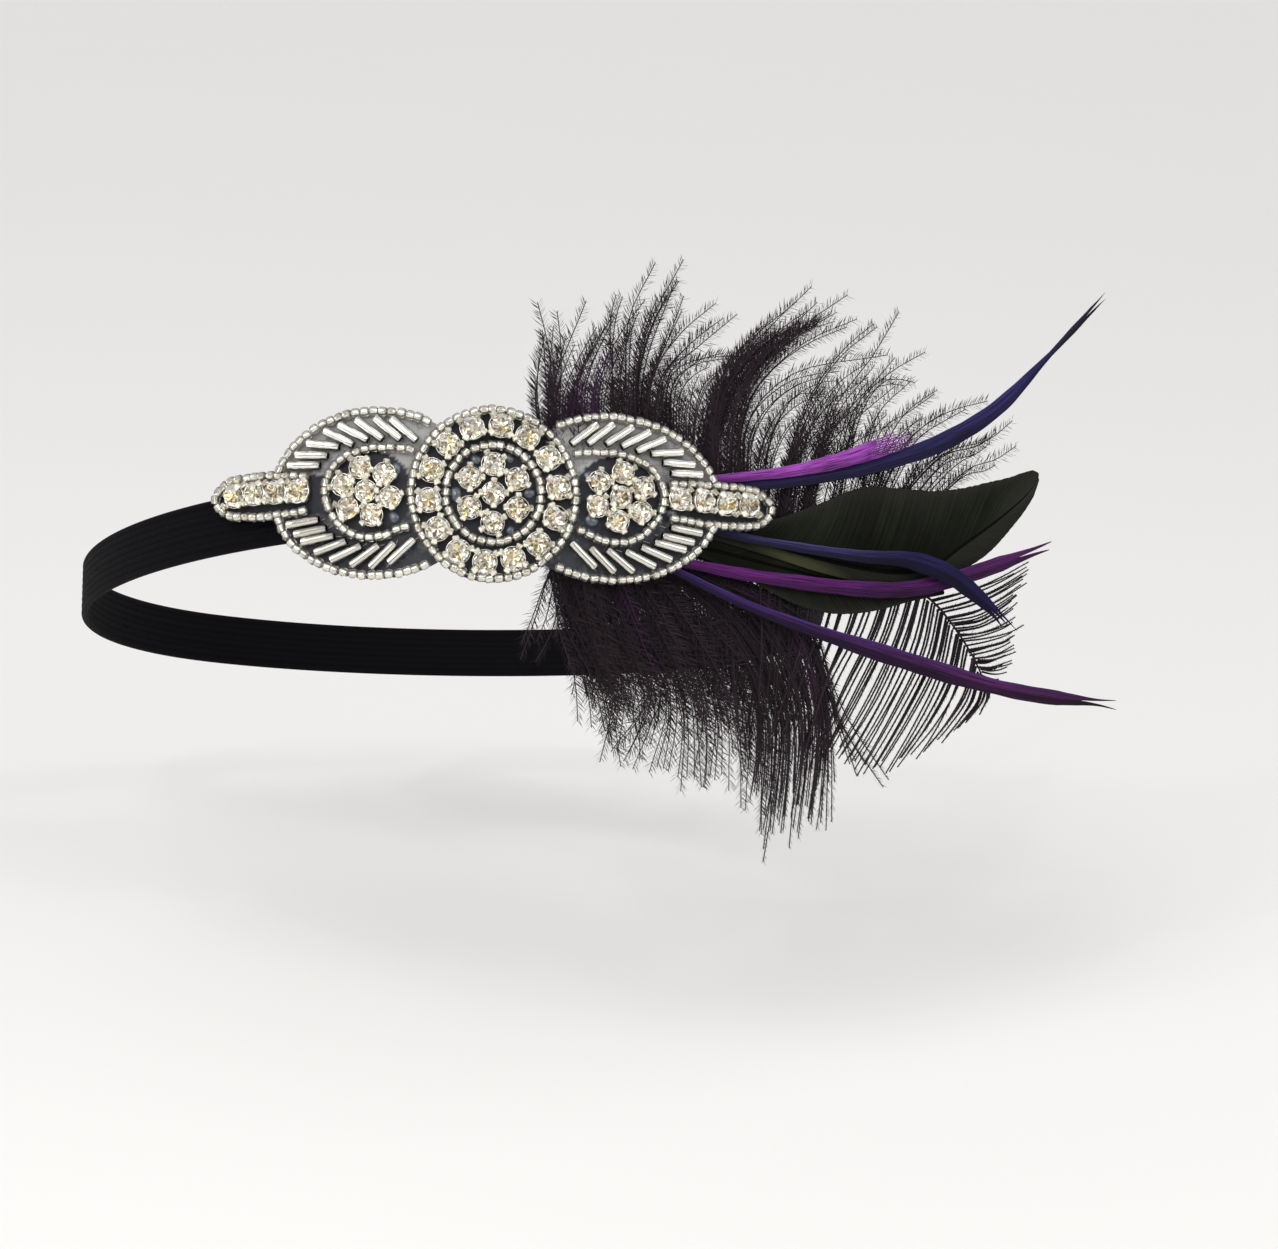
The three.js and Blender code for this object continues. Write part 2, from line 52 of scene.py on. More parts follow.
def placeCamera():
    azimuth, elevation, roll = (math.radians(shot[key]) for key in ("azimuth", "elevation", "roll"))
    back = Vector((math.sin(azimuth) * math.cos(elevation), -math.cos(azimuth) * math.cos(elevation),
                   math.sin(elevation)))
    level = Vector((math.cos(azimuth), math.sin(azimuth), 0))
    rise = back.cross(level)
    right = level * math.cos(roll) + rise * math.sin(roll)
    up = rise * math.cos(roll) - level * math.sin(roll)
    scale = picture["pixelsPerMm"]
    asideX = (picture["centreX"] - picture["width"] / 2) / scale  # mm at the centre's depth
    asideY = (picture["height"] / 2 - picture["centreY"]) / scale
    place = (back * shot["distance"] - right * asideX - up * asideY) / 1000
    lens = bpy.data.cameras.new("camera")
    lens.sensor_width = shot["sensor"]
    lens.lens = scale * shot["distance"] * shot["sensor"] / picture["width"]
    lens.clip_start, lens.clip_end = shot["near"], shot["far"]
    camera = addObject("camera", lens)
    camera.matrix_world = Matrix.Translation(place) @ Matrix((right, up, back)).transposed().to_4x4()
    bpy.context.scene.camera = camera


placeCamera()
print("camera placed")

# Surfaces that carry the pieces, in millimetres on the upright loop: front is -Y, up is +Z
loop = {"headRadius": 89.0, "wearTilt": 22.0, "gap": 0.35}
band = {"width": 12.7, "wall": 1.5, "ribs": 8, "ribDepth": 0.40, "turns": 300, "ribSteps": 8,
        "dip": 13.0, "dipFrom": 15.0, "dipTo": 140.0}
plate = {"wall": 1.2, "half": 63.6, "rise": 2.2, "crown": 180.0, "tipLift": 11.0, "tail": 1.1,
         "lift": 0.25, "tipTaper": 9.0, "tipHigh": 4.1}
fan = {"angle": math.radians(22), "radius": 93.0, "crown": 320.0}
plateRadius = loop["headRadius"] + band["wall"] + loop["gap"] + plate["lift"]
splineSteps = 32


def unit(vectors):
    return vectors / np.linalg.norm(vectors, axis=-1, keepdims=True)


def loopPoint(angle, height, radius):
    return np.stack(np.broadcast_arrays(radius * np.sin(angle), -radius * np.cos(angle), height), -1)


def platePoint(along, up, off):  # a place on the applique, off its back
    lift = plate["tipLift"] * (np.maximum(along, 0) / plate["half"]) ** 1.5
    radius = plateRadius + lift - np.square(up) / (2 * plate["crown"]) + off
    return loopPoint(np.asarray(along) / plateRadius, np.asarray(up) + plate["rise"], radius)


def plateFrame(along, up, off):  # origins, and axes as columns: along, up, outward
    step = 0.1
    x = unit(platePoint(along + step, up, off) - platePoint(along - step, up, off))
    rise = platePoint(along, up + step, off) - platePoint(along, up - step, off)
    z = unit(np.cross(x, rise))
    return platePoint(along, up, off), np.stack([x, np.cross(z, x), z], -1)


hubTangent = loopPoint(fan["angle"] + math.pi / 2, 0.0, 1.0)
hubNormal = loopPoint(fan["angle"], 0.0, 1.0)


def fanPoint(along, up, off):  # a place on the feathers' fan, which leaves the loop on its tangent
    angle = fan["angle"] + np.minimum(along, 0) / fan["radius"]
    radius = fan["radius"] + off - np.square(up) / (2 * fan["crown"])
    return loopPoint(angle, up, radius) + np.maximum(along, 0)[..., None] * hubTangent


def worn(points):  # tilted back as worn, and in metres
    tilt = math.radians(loop["wearTilt"])
    x, y, z = points[..., 0], points[..., 1], points[..., 2]
    tilted = [x, y * math.cos(tilt) + z * math.sin(tilt), z * math.cos(tilt) - y * math.sin(tilt)]
    return np.stack(tilted, -1) / 1000


def smoothRoute(places, count):  # a spline through places, sampled evenly by length
    places = np.array(places, float)
    ends = np.vstack([2 * places[0] - places[1], places, 2 * places[-1] - places[-2]])
    fine = []
    t = np.arange(splineSteps)[:, None] / splineSteps
    for a, b, c, d in zip(ends[:-3], ends[1:-2], ends[2:-1], ends[3:]):
        ab, bc, cd = (np.linalg.norm(q - p) ** 0.5 for p, q in ((a, b), (b, c), (c, d)))
        leave = ((b - a) / ab - (c - a) / (ab + bc) + (c - b) / bc) * bc
        reach = ((c - b) / bc - (d - b) / (bc + cd) + (d - c) / cd) * bc
        fine.append(b + leave * t + (3 * (c - b) - 2 * leave - reach) * t ** 2
                    + (2 * (b - c) + leave + reach) * t ** 3)
    line = np.vstack([*fine, places[-1:]])
    lengths = lengthsOf(line)
    return pointsAt(line, lengths, np.linspace(0, lengths[-1], count))


def lengthsOf(line):
    return np.concatenate([[0], np.cumsum(np.linalg.norm(np.diff(line, axis=0), axis=1))])


def pointsAt(line, lengths, places):
    return np.stack([np.interp(places, lengths, column) for column in line.T], 1)


def turns(count):  # angles evenly round a circle
    return np.linspace(0, 2 * math.pi, count, endpoint=False)


# Joined meshes: a batch collects parts of one object
def newBatch():
    return {"points": [], "faces": [], "slots": [], "smooth": [], "tones": [], "uvs": [],
            "along": [], "across": [], "count": 0}


def addPart(batch, points, faces, slot=0, smooth=True, tone=0.0, uv=None, along=0.0, across=0.0):
    points = points.reshape(-1, 3)
    batch["points"].append(points)
    addFaces(batch, faces, batch["count"], slot, smooth, tone, uv)
    batch["along"].append(np.broadcast_to(np.ravel(along), len(points)))
    batch["across"].append(np.broadcast_to(np.ravel(across), len(points)))
    batch["count"] += len(points)


def addFaces(batch, faces, start, slot=0, smooth=True, tone=0.0, uv=None):  # faces on points already added
    batch["faces"].append(faces + start)
    for key, value in (("slots", slot), ("smooth", smooth), ("tones", tone)):
        batch[key].append(np.broadcast_to(value, len(faces)))
    batch["uvs"].append(np.zeros((faces.size, 2)) if uv is None else uv.reshape(-1, 2))


def gridFaces(rows, columns, wrapRows=False, wrapColumns=False):
    i, j = np.meshgrid(np.arange(rows - (not wrapRows)), np.arange(columns - (not wrapColumns)),
                       indexing="ij")
    i, j = i.ravel(), j.ravel()
    rowOf = np.stack([i, i + 1, i + 1, i], 1)
    columnOf = np.stack([j, j, j + 1, j + 1], 1)
    return rowOf % rows * columns + columnOf % columns, rowOf, columnOf


def volume(points, faces):
    points = points.reshape(-1, 3)
    a, b, c, d = (points[faces[:, k]] for k in range(4))
    return np.einsum("ij,ij->", a, np.cross(b, c) + np.cross(c, d)) / 6


def outward(points, faces):  # faces of a closed shell, turned to point out
    return faces[:, ::-1] if volume(points, faces) < 0 else faces


def bothSides(front, back):  # rows round a closed sheet, across its front and back again behind
    return np.concatenate([front, back[:, ::-1]], 1)


def closedSheet(surface, along, up, front, back):  # a sheet between two levels of a surface
    points = surface(bothSides(along, along), bothSides(up, up), bothSides(front, back))
    return points, outward(points, gridFaces(*points.shape[:2], wrapColumns=True)[0])


def makeObject(batch, name, materials, nodes):
    points = worn(np.concatenate(batch["points"]))
    corners = np.concatenate([faces.ravel() for faces in batch["faces"]])
    sizes = np.concatenate([np.full(len(faces), faces.shape[1]) for faces in batch["faces"]])
    mesh = bpy.data.meshes.new(name)
    mesh.vertices.add(len(points))
    mesh.vertices.foreach_set("co", points.astype(np.float32).ravel())
    mesh.loops.add(len(corners))
    mesh.loops.foreach_set("vertex_index", corners.astype(np.int32))
    mesh.polygons.add(len(sizes))
    mesh.polygons.foreach_set("loop_start", (np.cumsum(sizes) - sizes).astype(np.int32))
    mesh.update(calc_edges=True)
    mesh.polygons.foreach_set("material_index", np.concatenate(batch["slots"]).astype(np.int32))
    mesh.polygons.foreach_set("use_smooth", np.concatenate(batch["smooth"]).astype(bool))
    for label, domain in (("along", "POINT"), ("across", "POINT"), ("tones", "FACE")):
        values = np.concatenate(batch[label]).astype(np.float32)
        mesh.attributes.new(label, "FLOAT", domain).data.foreach_set("value", values)
    uvs = np.concatenate(batch["uvs"]).astype(np.float32)
    mesh.uv_layers.new(name="surface").data.foreach_set("uv", uvs.ravel())
    for material in materials:
        mesh.materials.append(material)
    piece = addObject(name, mesh)
    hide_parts(*nodes)
    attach(piece, "root")


def addTube(batch, line, radius, sides, normal, **marks):  # a closed tube along a line
    tangent = unit(np.gradient(line, axis=0))
    side = unit(np.cross(normal, tangent))
    other = np.cross(tangent, side)
    turn = turns(sides)[None, :, None]
    reach = np.broadcast_to(radius, len(line))[:, None, None]
    rings = line[:, None] + reach * (np.cos(turn) * side[:, None] + np.sin(turn) * other[:, None])
    share = np.repeat(np.linspace(0, 1, len(line)), sides)
    start = batch["count"]
    addPart(batch, rings, gridFaces(len(line), sides, wrapColumns=True)[0][:, ::-1], along=share, **marks)
    last = (len(line) - 1) * sides
    caps = np.stack([np.arange(sides)[::-1], last + np.arange(sides)])
    addFaces(batch, caps, start, smooth=False, **marks)


def addCopies(batch, template, origins, axes, tones):  # one template placed many times
    points = template["points"]
    placed = origins[:, None, :] + np.einsum("nij,pj->npi", axes, points)
    base = np.arange(len(origins))[:, None, None] * len(points)
    start = batch["count"]
    addPart(batch, placed, np.zeros((0, 4), int))
    for slot, faces in enumerate(template["faces"]):
        many = (base + faces[None]).reshape(-1, faces.shape[1])
        addFaces(batch, many, start, slot, tone=np.repeat(tones, len(faces)))


class Finish:  # a procedural material, with short calls that add its nodes
    def __init__(self, name, sockets):
        self.material = bpy.data.materials.new(name)
        self.material.use_nodes = True
        self.tree = self.material.node_tree
        self.shader = self.tree.nodes["Principled BSDF"]
        for socket, value in sockets.items():
            self.feed(self.shader.inputs[socket], value)

    def feed(self, socket, value):  # a link from another node, a colour or a plain value
        if isinstance(value, bpy.types.NodeSocket):
            self.tree.links.new(value, socket)
        else:
            socket.default_value = (*value, 1) if isinstance(value, tuple) else value

    def add(self, kind, inputs, **settings):
        node = self.tree.nodes.new(kind)
        for key, value in settings.items():
            setattr(node, key, value)
        for socket, value in inputs.items():
            self.feed(node.inputs[socket], value)
        return node

    def calc(self, operation, first, second=0.0):
        return self.add("ShaderNodeMath", {0: first, 1: second}, operation=operation).outputs[0]

    def times(self, first, second):
        return self.calc("MULTIPLY", first, second)

    def mark(self, name):  # a value stored on the mesh
        return self.add("ShaderNodeAttribute", {}, attribute_name=name).outputs["Fac"]

    def surface(self):  # millimetres along and up the piece
        uv = self.add("ShaderNodeUVMap", {}, uv_map="surface").outputs[0]
        parts = self.add("ShaderNodeSeparateXYZ", {0: uv}).outputs
        return parts["X"], parts["Y"]

    def noise(self, scale, detail, vector=None, roughness=0.5):
        if vector is None:
            vector = self.add("ShaderNodeTexCoord", {}).outputs["Object"]
        inputs = {"Vector": vector, "Scale": scale, "Detail": detail, "Roughness": roughness}
        return self.add("ShaderNodeTexNoise", inputs).outputs["Fac"]

    def streaks(self, along, across, scale, detail, roughness=0.5):
        place = self.add("ShaderNodeCombineXYZ", {"X": along, "Y": across}).outputs[0]
        return self.noise(scale, detail, place, roughness)

    def ramp(self, factor, stops):  # stops of a place and a colour, or of a place and a grey
        node = self.add("ShaderNodeValToRGB", {"Fac": factor})
        elements = node.color_ramp.elements
        elements[0].position, elements[1].position = stops[0][0], stops[-1][0]
        for stop in stops[1:-1]:
            elements.new(stop[0])
        for element, stop in zip(elements, stops):
            colour = stop[1] if isinstance(stop[1], tuple) else [stop[1]] * 3
            element.color = (*colour, 1)
        return node.outputs["Color"]

    def mix(self, factor, first, second, blend="MIX"):
        inputs = {0: factor, 6: first, 7: second}
        return self.add("ShaderNodeMix", inputs, data_type="RGBA", blend_type=blend).outputs[2]

    def span(self, factor, low, high):
        inputs = {"Value": factor, "To Min": low, "To Max": high}
        return self.add("ShaderNodeMapRange", inputs).outputs["Result"]

    def done(self, colour, cloud, rough, height=None, strength=0.0, distance=0.0):
        self.feed(self.shader.inputs["Base Color"], colour)
        self.feed(self.shader.inputs["Roughness"], self.span(cloud, *rough))
        if height is not None:
            inputs = {"Height": height, "Strength": strength, "Distance": distance}
            self.feed(self.shader.inputs["Normal"], self.add("ShaderNodeBump", inputs).outputs["Normal"])
        return self.material


# Elastic: a braided loop with lengthwise ribs
elastic = {"thread": (0.002, 0.002, 0.003), "crest": (0.008, 0.0078, 0.011), "stitch": 0.62, "slope": 1.3,
           "innerRib": 0.3, "roundness": 0.62, "fuzz": 1500}


def elasticMaterial():
    sockets = {"Sheen Weight": 0.012, "Sheen Roughness": 0.45, "Specular IOR Level": 0.06}
    finish = Finish("black_elastic", sockets)
    along, up = finish.surface()
    slant = finish.calc("PINGPONG", up, band["width"] / band["ribs"])
    phase = finish.calc("ADD", along, finish.times(slant, elastic["slope"]))
    stitch = finish.calc("SINE", finish.times(phase, 2 * math.pi / elastic["stitch"]))
    fuzz = finish.noise(elastic["fuzz"], 3)
    height = finish.calc("ADD", finish.times(stitch, 0.5), fuzz)
    tone = finish.times(finish.span(stitch, 0.0, 1.0), fuzz)
    colour = finish.mix(tone, elastic["thread"], elastic["crest"])
    return finish.done(colour, fuzz, (0.6, 0.95), height, 0.6, 0.00018)


def bandDip(angle):
    share = (np.abs(np.degrees(angle)) - band["dipFrom"]) / (band["dipTo"] - band["dipFrom"])
    return -band["dip"] * np.sin(np.clip(share, 0, 1) * math.pi / 2) ** 1.2


def makeElastic():
    angles = np.linspace(-math.pi, math.pi, band["turns"], endpoint=False)
    shares = np.linspace(-0.5, 0.5, band["ribs"] * band["ribSteps"] + 1)
    crest = np.abs(np.sin(math.pi * band["ribs"] * (shares + 0.5))) ** elastic["roundness"]
    outer = loop["headRadius"] + band["wall"] - band["ribDepth"] * (1 - crest)
    inner = loop["headRadius"] + elastic["innerRib"] * (1 - crest)
    heights = np.concatenate([shares, shares[::-1]]) * band["width"]
    radius = np.concatenate([outer, inner[::-1]])
    points = loopPoint(angles[:, None], heights + bandDip(angles)[:, None], radius)
    faces, rowOf, columnOf = gridFaces(len(angles), len(heights), wrapRows=True, wrapColumns=True)
    arc = 2 * math.pi * loop["headRadius"] / band["turns"]
    uv = np.stack([rowOf * arc, np.append(heights, heights[0])[columnOf] + band["width"] / 2], -1)
    if volume(points, faces) < 0:
        faces, uv = faces[:, ::-1], uv[:, ::-1]
    batch = newBatch()
    addPart(batch, points, faces, uv=uv)
    makeObject(batch, "elastic_loop", [elasticMaterial()], ["elastic_band"])


makeElastic()
print("elastic made")

# Applique: sizes on the plate, from the medallion's centre; a bead's outline by share of length and radius
bead = {"radius": 1.04, "length": 1.88, "pitch": 2.02, "hole": 0.63, "sides": 14, "tilt": 0.10, "shift": 0.06,
        "unevenPlace": 0.05, "unevenLength": 0.05, "unevenWidth": 0.035, "longest": 1.03, "lookAhead": 0.3,
        "seed": 5, "strandSteps": 400, "lining": 0.1,
        "outline": [(0.18, 1.0), (0.30, 0.965), (0.41, 0.86), (0.475, 0.72), (0.5, 0.58)]}
medallion = {"rimAlong": 17.5, "rimUp": 18.7, "innerAlong": 10.2, "innerUp": 10.7, "stones": 14, "first": 6.5,
             "stoneAlong": 13.9, "stoneUp": 15.1, "heartAlong": 5.9, "heartUp": 6.4, "heart": 6,
             "heartFirst": 30, "ringSize": 1.10, "heartSize": 1.05}
leaf = {"centre": 25.4, "along": 22.7, "up": 18.2, "start": 15.0}
disc = {"along": 27.2, "up": 0.3, "stoneRing": 5.45, "stones": 6, "left": -16, "right": 25, "centre": 15}
discStrand = [(16.9, 9.3), (18.7, 9.7), (23.0, 10.0), (27.0, 9.8), (30.2, 8.9), (33.3, 7.2), (35.5, 4.4),
              (36.4, 1.0), (35.8, -2.4), (34.3, -5.4), (32.2, -7.8), (29.2, -9.5), (26.2, -9.9), (23.2, -9.5),
              (21.0, -8.6), (19.6, -7.9), (17.9, -7.5)]
tipStrand = [(40.2, 3.9), (47.0, 4.25), (54.0, 4.3), (60.2, 3.4), (63.1, 0.1),
             (60.2, -3.5), (54.0, -4.5), (47.0, -4.4), (40.2, -3.75)]
tipStones = {"along": (42.6, 47.8, 53.0, 58.1), "up": 0.6, "size": 1.08}
tipShift = {"left": 0.0, "right": -2.6}
# a bugle row's dull range: the bottom rows' duller, darker linings are painted shade, over tarnish that
# differs at random
bugle = {"length": 7.6, "radius": 1.0, "hole": 0.90, "sides": 18, "tilt": 0.02, "seed": 8,
         "ends": [(0.16, 1.0), (0.05, 0.94), (0.0, 0.82)],  # short of the end, and share of the radius
         "dullAndShade": {"top": (0.0, 0.4), "bottom": (0.7, 1.5)}}
bugleRows = {"top": [(19.3, 13.9, 39), (22.8, 14.1, 38), (26.8, 14.0, 35), (30.3, 13.4, 28),
                     (33.5, 12.3, 24), (37.0, 10.8, 8), (39.5, 8.6, 3), (41.2, 6.4, 3)],
             "bottom": [(19.4, -12.9, -43), (23.5, -13.8, -43), (27.3, -13.8, -36), (31.5, -13.2, -24),
                        (34.9, -11.8, -18), (37.8, -10.0, -9), (39.5, -8.3, -11), (41.2, -6.25, -7)]}
stoneLevel = plate["wall"] + loop["gap"]
beadLevel = stoneLevel + bead["radius"]
sides = (("left", -1), ("right", 1))


def silverMaterial(name, colours, rough, scale, metal, dullAndShade):  # bright metal, some copies duller than others: tarnish at random, and painted shade on the bottom bugles
    finish = Finish(name, {"Metallic": metal})
    cloud = finish.noise(scale, 4)
    tarnishAndShade = finish.times(finish.mark("tones"), dullAndShade)
    tarnishedAndShaded = finish.mix(tarnishAndShade, finish.mix(cloud, *colours), (0.30, 0.275, 0.225))
    return finish.done(tarnishedAndShaded, cloud, rough, finish.noise(scale * 4, 2), 0.12, 0.0001)


def glassMaterial(name, colour, index, rough):
    finish = Finish(name, {"Transmission Weight": 1.0, "IOR": index})
    cloud = finish.noise(700, 2)
    tint = finish.mix(cloud, colour, tuple(0.93 * part for part in colour))
    return finish.done(tint, cloud, (0.0, rough), finish.noise(500, 1), 0.06, 0.0002)


def cloudMaterial(name, sockets, colours, scale, detail, rough, *relief):  # two colours in soft clouds
    finish = Finish(name, sockets)
    cloud = finish.noise(scale, detail)
    return finish.done(finish.mix(cloud, *colours), cloud, rough, cloud if relief else None, *relief)


beadGlass = glassMaterial("bead_glass", (0.985, 0.975, 0.935), 1.5, 0.04)
bugleGlass = glassMaterial("bugle_glass", (0.985, 0.983, 0.97), 1.5, 0.04)
beadLining = silverMaterial("bead_lining", ((0.98, 0.965, 0.92), (0.84, 0.81, 0.72)),
                            (0.10, 0.26), 900, 0.82, 0.3)
bugleLining = silverMaterial("bugle_lining", ((0.98, 0.97, 0.93), (0.86, 0.84, 0.79)),
                             (0.06, 0.18), 700, 1.0, 0.45)
clawMetal = silverMaterial("claw_metal", ((0.99, 0.97, 0.90), (0.86, 0.81, 0.66)),
                           (0.12, 0.32), 600, 0.8, 0.0)
threadFinish = cloudMaterial("sewing_thread", {"Specular IOR Level": 0.6},
                             ((0.32, 0.32, 0.33), (0.62, 0.62, 0.60)), 2500, 2, (0.3, 0.6), 0.3, 0.00005)
glueFinish = cloudMaterial("dried_glue", {"Coat Weight": 0.6, "Coat Roughness": 0.08},
                           ((0.035, 0.045, 0.065), (0.10, 0.12, 0.15)), 400, 3, (0.12, 0.4), 0.2, 0.0002)

# Backing: the stiffened cloth under the beadwork, with glue spots and sewing thread
backing = {"columns": 300, "rows": 60, "seed": 11, "edge": 0.35, "rim": 0.45, "pucker": 0.10, "margin": 0.57,
           "cloth": (0.012, 0.013, 0.019), "weft": (0.026, 0.028, 0.038), "weave": 0.42, "cloud": 420,
           "netDark": (0.035, 0.037, 0.045), "net": (0.145, 0.15, 0.16), "netPale": (0.34, 0.34, 0.34),
           "netInLeaf": 1.03, "netOffDisc": 9.7, "netOffMedallion": 1.02, "netOffTip": 4.4, "netShadeFade": 8}
thread = {"radius": 0.06, "sides": 5, "level": 0.2, "stitched": 0.75, "coreRadius": 0.16, "coreSides": 6}
glue = {"sides": 18, "rings": 6, "high": 0.55, "sunk": 0.05}
glueSpots = [(-3.7, 7.6, 1.2), (-8.0, -0.2, 1.6), (3.6, 8.0, 1.0), (7.9, 0.4, 1.3), (4.0, -8.0, 1.1),
             (-24.2, -0.8, 1.1), (-21.0, 5.4, 1.3), (-21.2, -5.4, 1.3), (21.0, 4.8, 1.3), (21.4, -5.2, 1.4),
             (12.2, 12.0, 1.0), (-12.8, -12.0, 1.1), (1.0, -12.9, 1.0), (38.8, -2.4, 1.1)]


def ellipse(x, across, high):
    return high * np.sqrt(np.maximum(0, 1 - (x / across) ** 2))


def plateHalfLength(along):
    return plate["half"] + np.where(along < 0, tipShift["left"], tipShift["right"])


def plateHalfHeight(along):
    x = np.abs(along)
    margin = backing["margin"]
    taper = np.clip((plateHalfLength(along) - x) / plate["tipTaper"], 0, 1)
    return np.maximum.reduce([
        plate["tail"] + plate["tipHigh"] * np.sin(taper * math.pi / 2),
        ellipse(x, medallion["rimAlong"] + margin, medallion["rimUp"] + margin),
        ellipse(x - leaf["centre"], leaf["along"] + margin, leaf["up"] + margin)])


def inBugleField(along, up):  # 1 between a leaf's outline and its disc, outside the medallion
    x = np.abs(along)
    inLeaf = np.hypot((x - leaf["centre"]) / leaf["along"], up / leaf["up"]) < backing["netInLeaf"]
    offDisc = np.hypot(x - disc["along"], up) > backing["netOffDisc"]
    reach = np.hypot(along / medallion["rimAlong"], up / medallion["rimUp"])
    offTip = (np.abs(up) > backing["netOffTip"]) | (x < disc["along"])
    return (inLeaf & offDisc & (reach > backing["netOffMedallion"]) & offTip).astype(float)


def backingMaterial():
    finish = Finish("backing_cloth", {"Sheen Weight": 0.04, "Specular IOR Level": 0.25})
    perMm = 2 * math.pi / backing["weave"]
    warp, weft = (finish.calc("SINE", finish.times(part, perMm)) for part in finish.surface())
    weave = finish.calc("MAXIMUM", warp, weft)
    cloud = finish.noise(backing["cloud"], 5, roughness=0.7)
    cloth = finish.mix(finish.span(weave, 0.0, 0.6), backing["cloth"], backing["weft"])
    cloudAndShade = finish.calc("ADD", cloud, finish.span(finish.mark("across"), -0.21, 0.22))  # painted shade: the net darker towards the bottom and paler at the top
    net = finish.ramp(cloudAndShade, [(0.32, backing["netDark"]), (0.54, backing["net"]), (0.70, backing["netPale"])])
    height = finish.calc("ADD", finish.times(weave, 0.3), cloud)
    colour = finish.mix(finish.mark("along"), cloth, net)
    return finish.done(colour, cloud, (0.35, 0.8), height, 0.45, 0.00012)


def addGlue(batch, along, up, radius):
    turn = turns(glue["sides"])
    rings = np.cos(np.linspace(0, math.pi / 2, glue["rings"]))[:-1, None]
    off = plate["wall"] - glue["sunk"] + np.sqrt(1 - rings ** 2) * glue["high"] * radius
    reach = 1 + 0.12 * np.sin(2 * turn + along) + 0.06 * np.sin(3 * turn + up)  # uneven round its rim
    points = platePoint(along + radius * rings * np.cos(turn) * reach,
                        up + radius * rings * np.sin(turn) * reach, off)
    start = batch["count"]
    addPart(batch, points, gridFaces(*points.shape[:2], wrapColumns=True)[0][:, ::-1], slot=1)
    top = (len(rings) - 1) * len(turn) + np.arange(len(turn))
    addFaces(batch, top[None], start, slot=1)


def addThread(batch, route, off, radius, sides):  # thread that lies on the plate
    normal = plateFrame(*route.T, 0.0)[1][:, :, 2]
    addTube(batch, platePoint(*route.T, off), radius, sides, normal, slot=2)


def makeBacking():
    rng = np.random.default_rng(backing["seed"])
    sweep = np.linspace(-math.pi / 2, math.pi / 2, backing["columns"]) * 0.98
    columns = plateHalfLength(sweep) * np.sin(sweep) / math.sin(sweep[-1])
    rows = np.linspace(-1, 1, backing["rows"])
    high = plateHalfHeight(columns)[:, None]
    up = rows * high
    along = np.broadcast_to(columns[:, None], up.shape)
    edge = np.clip((1 - np.abs(rows)) * high / backing["edge"], 0, 1)
    ripple = np.sin(along * 2.3 + np.sin(up * 1.7)) * np.sin(up * 2.1 + np.sin(along * 1.3))
    rim = backing["rim"]
    front = plate["wall"] * (1 - rim + rim * np.sqrt(edge)) + backing["pucker"] * (ripple * edge - 1)
    rear = plate["wall"] * rim * (1 - np.sqrt(edge))
    points, faces = closedSheet(platePoint, along, up, front, rear)
    flat = np.stack([bothSides(along, along), bothSides(up, up)], -1).reshape(-1, 2)
    field = bothSides(inBugleField(along, up), np.zeros(up.shape))  # net on the front only
    batch = newBatch()
    # across holds the net's painted shade, from dark at the bottom to pale at the top
    addPart(batch, points, faces, uv=flat[faces], along=field,
            across=np.clip(flat[:, 1] / backing["netShadeFade"], -1, 1) / 2 + 0.5)
    for spot in glueSpots:
        addGlue(batch, *spot)
    level = plate["wall"] + thread["level"]
    for sign in (-1, 1):  # stitches that tie the bugles down, left and right
        for x, y, degrees in bugleRows["top"] + bugleRows["bottom"]:
            slant = math.radians(degrees)
            heading = np.array([math.cos(slant), sign * math.sin(slant)])
            for end in (-1, 1):
                start = np.array([sign * x, y]) + end * heading * bugle["length"] / 2
                stop = start + end * heading * rng.uniform(0.5, 1.3) + rng.normal(0, 0.2, 2)
                if rng.random() < thread["stitched"]:
                    route = smoothRoute([start, (start + stop) / 2, stop], 8)
                    addThread(batch, route, level, thread["radius"], thread["sides"])
    materials = [backingMaterial(), glueFinish, threadFinish]
    makeObject(batch, "applique_backing", materials, ["applique_base"])


makeBacking()
print("backing made")


# Beads: drilled glass with a bright lining, strung on thread
def drilledTemplate(outline, hole, sides):  # a drilled bead about its own X axis, lined inside
    halfLength = outline[-1][0]
    inside = halfLength - bead["lining"]  # the lining stops short of the ends
    bore = [(x, hole) for x in (halfLength, inside, -inside, -halfLength)]
    ring = np.array([(-x, r) for x, r in reversed(outline)] + outline + bore)
    x, reach = ring.T
    turn = turns(sides)[:, None]
    points = np.stack(np.broadcast_arrays(x, reach * np.cos(turn), reach * np.sin(turn)), -1)
    faces, columnOf = gridFaces(*points.shape[:2], wrapRows=True, wrapColumns=True)[::2]
    inBore = (columnOf[:, 0] >= 2 * len(outline)) & (columnOf[:, 0] < len(ring) - 1)
    faces = outward(points, faces)
    return {"points": points.reshape(-1, 3), "faces": [faces[~inBore], faces[inBore]]}


def ellipseRoute(centre, across, high, start, stop):
    turn = np.linspace(start, stop, bead["strandSteps"])
    return np.stack([centre + across * np.cos(turn), high * np.sin(turn)], 1)


def leafStop():  # where a leaf's strand stops short of the medallion's rim
    turn = np.linspace(math.pi / 2, math.pi, 800)
    x = leaf["centre"] + leaf["along"] * np.cos(turn)
    y = leaf["up"] * np.sin(turn)
    reach = 2 * bead["radius"] + loop["gap"]
    clear = np.hypot(x / (medallion["rimAlong"] + reach), y / (medallion["rimUp"] + reach)) > 1
    return turn[np.argmin(clear)]


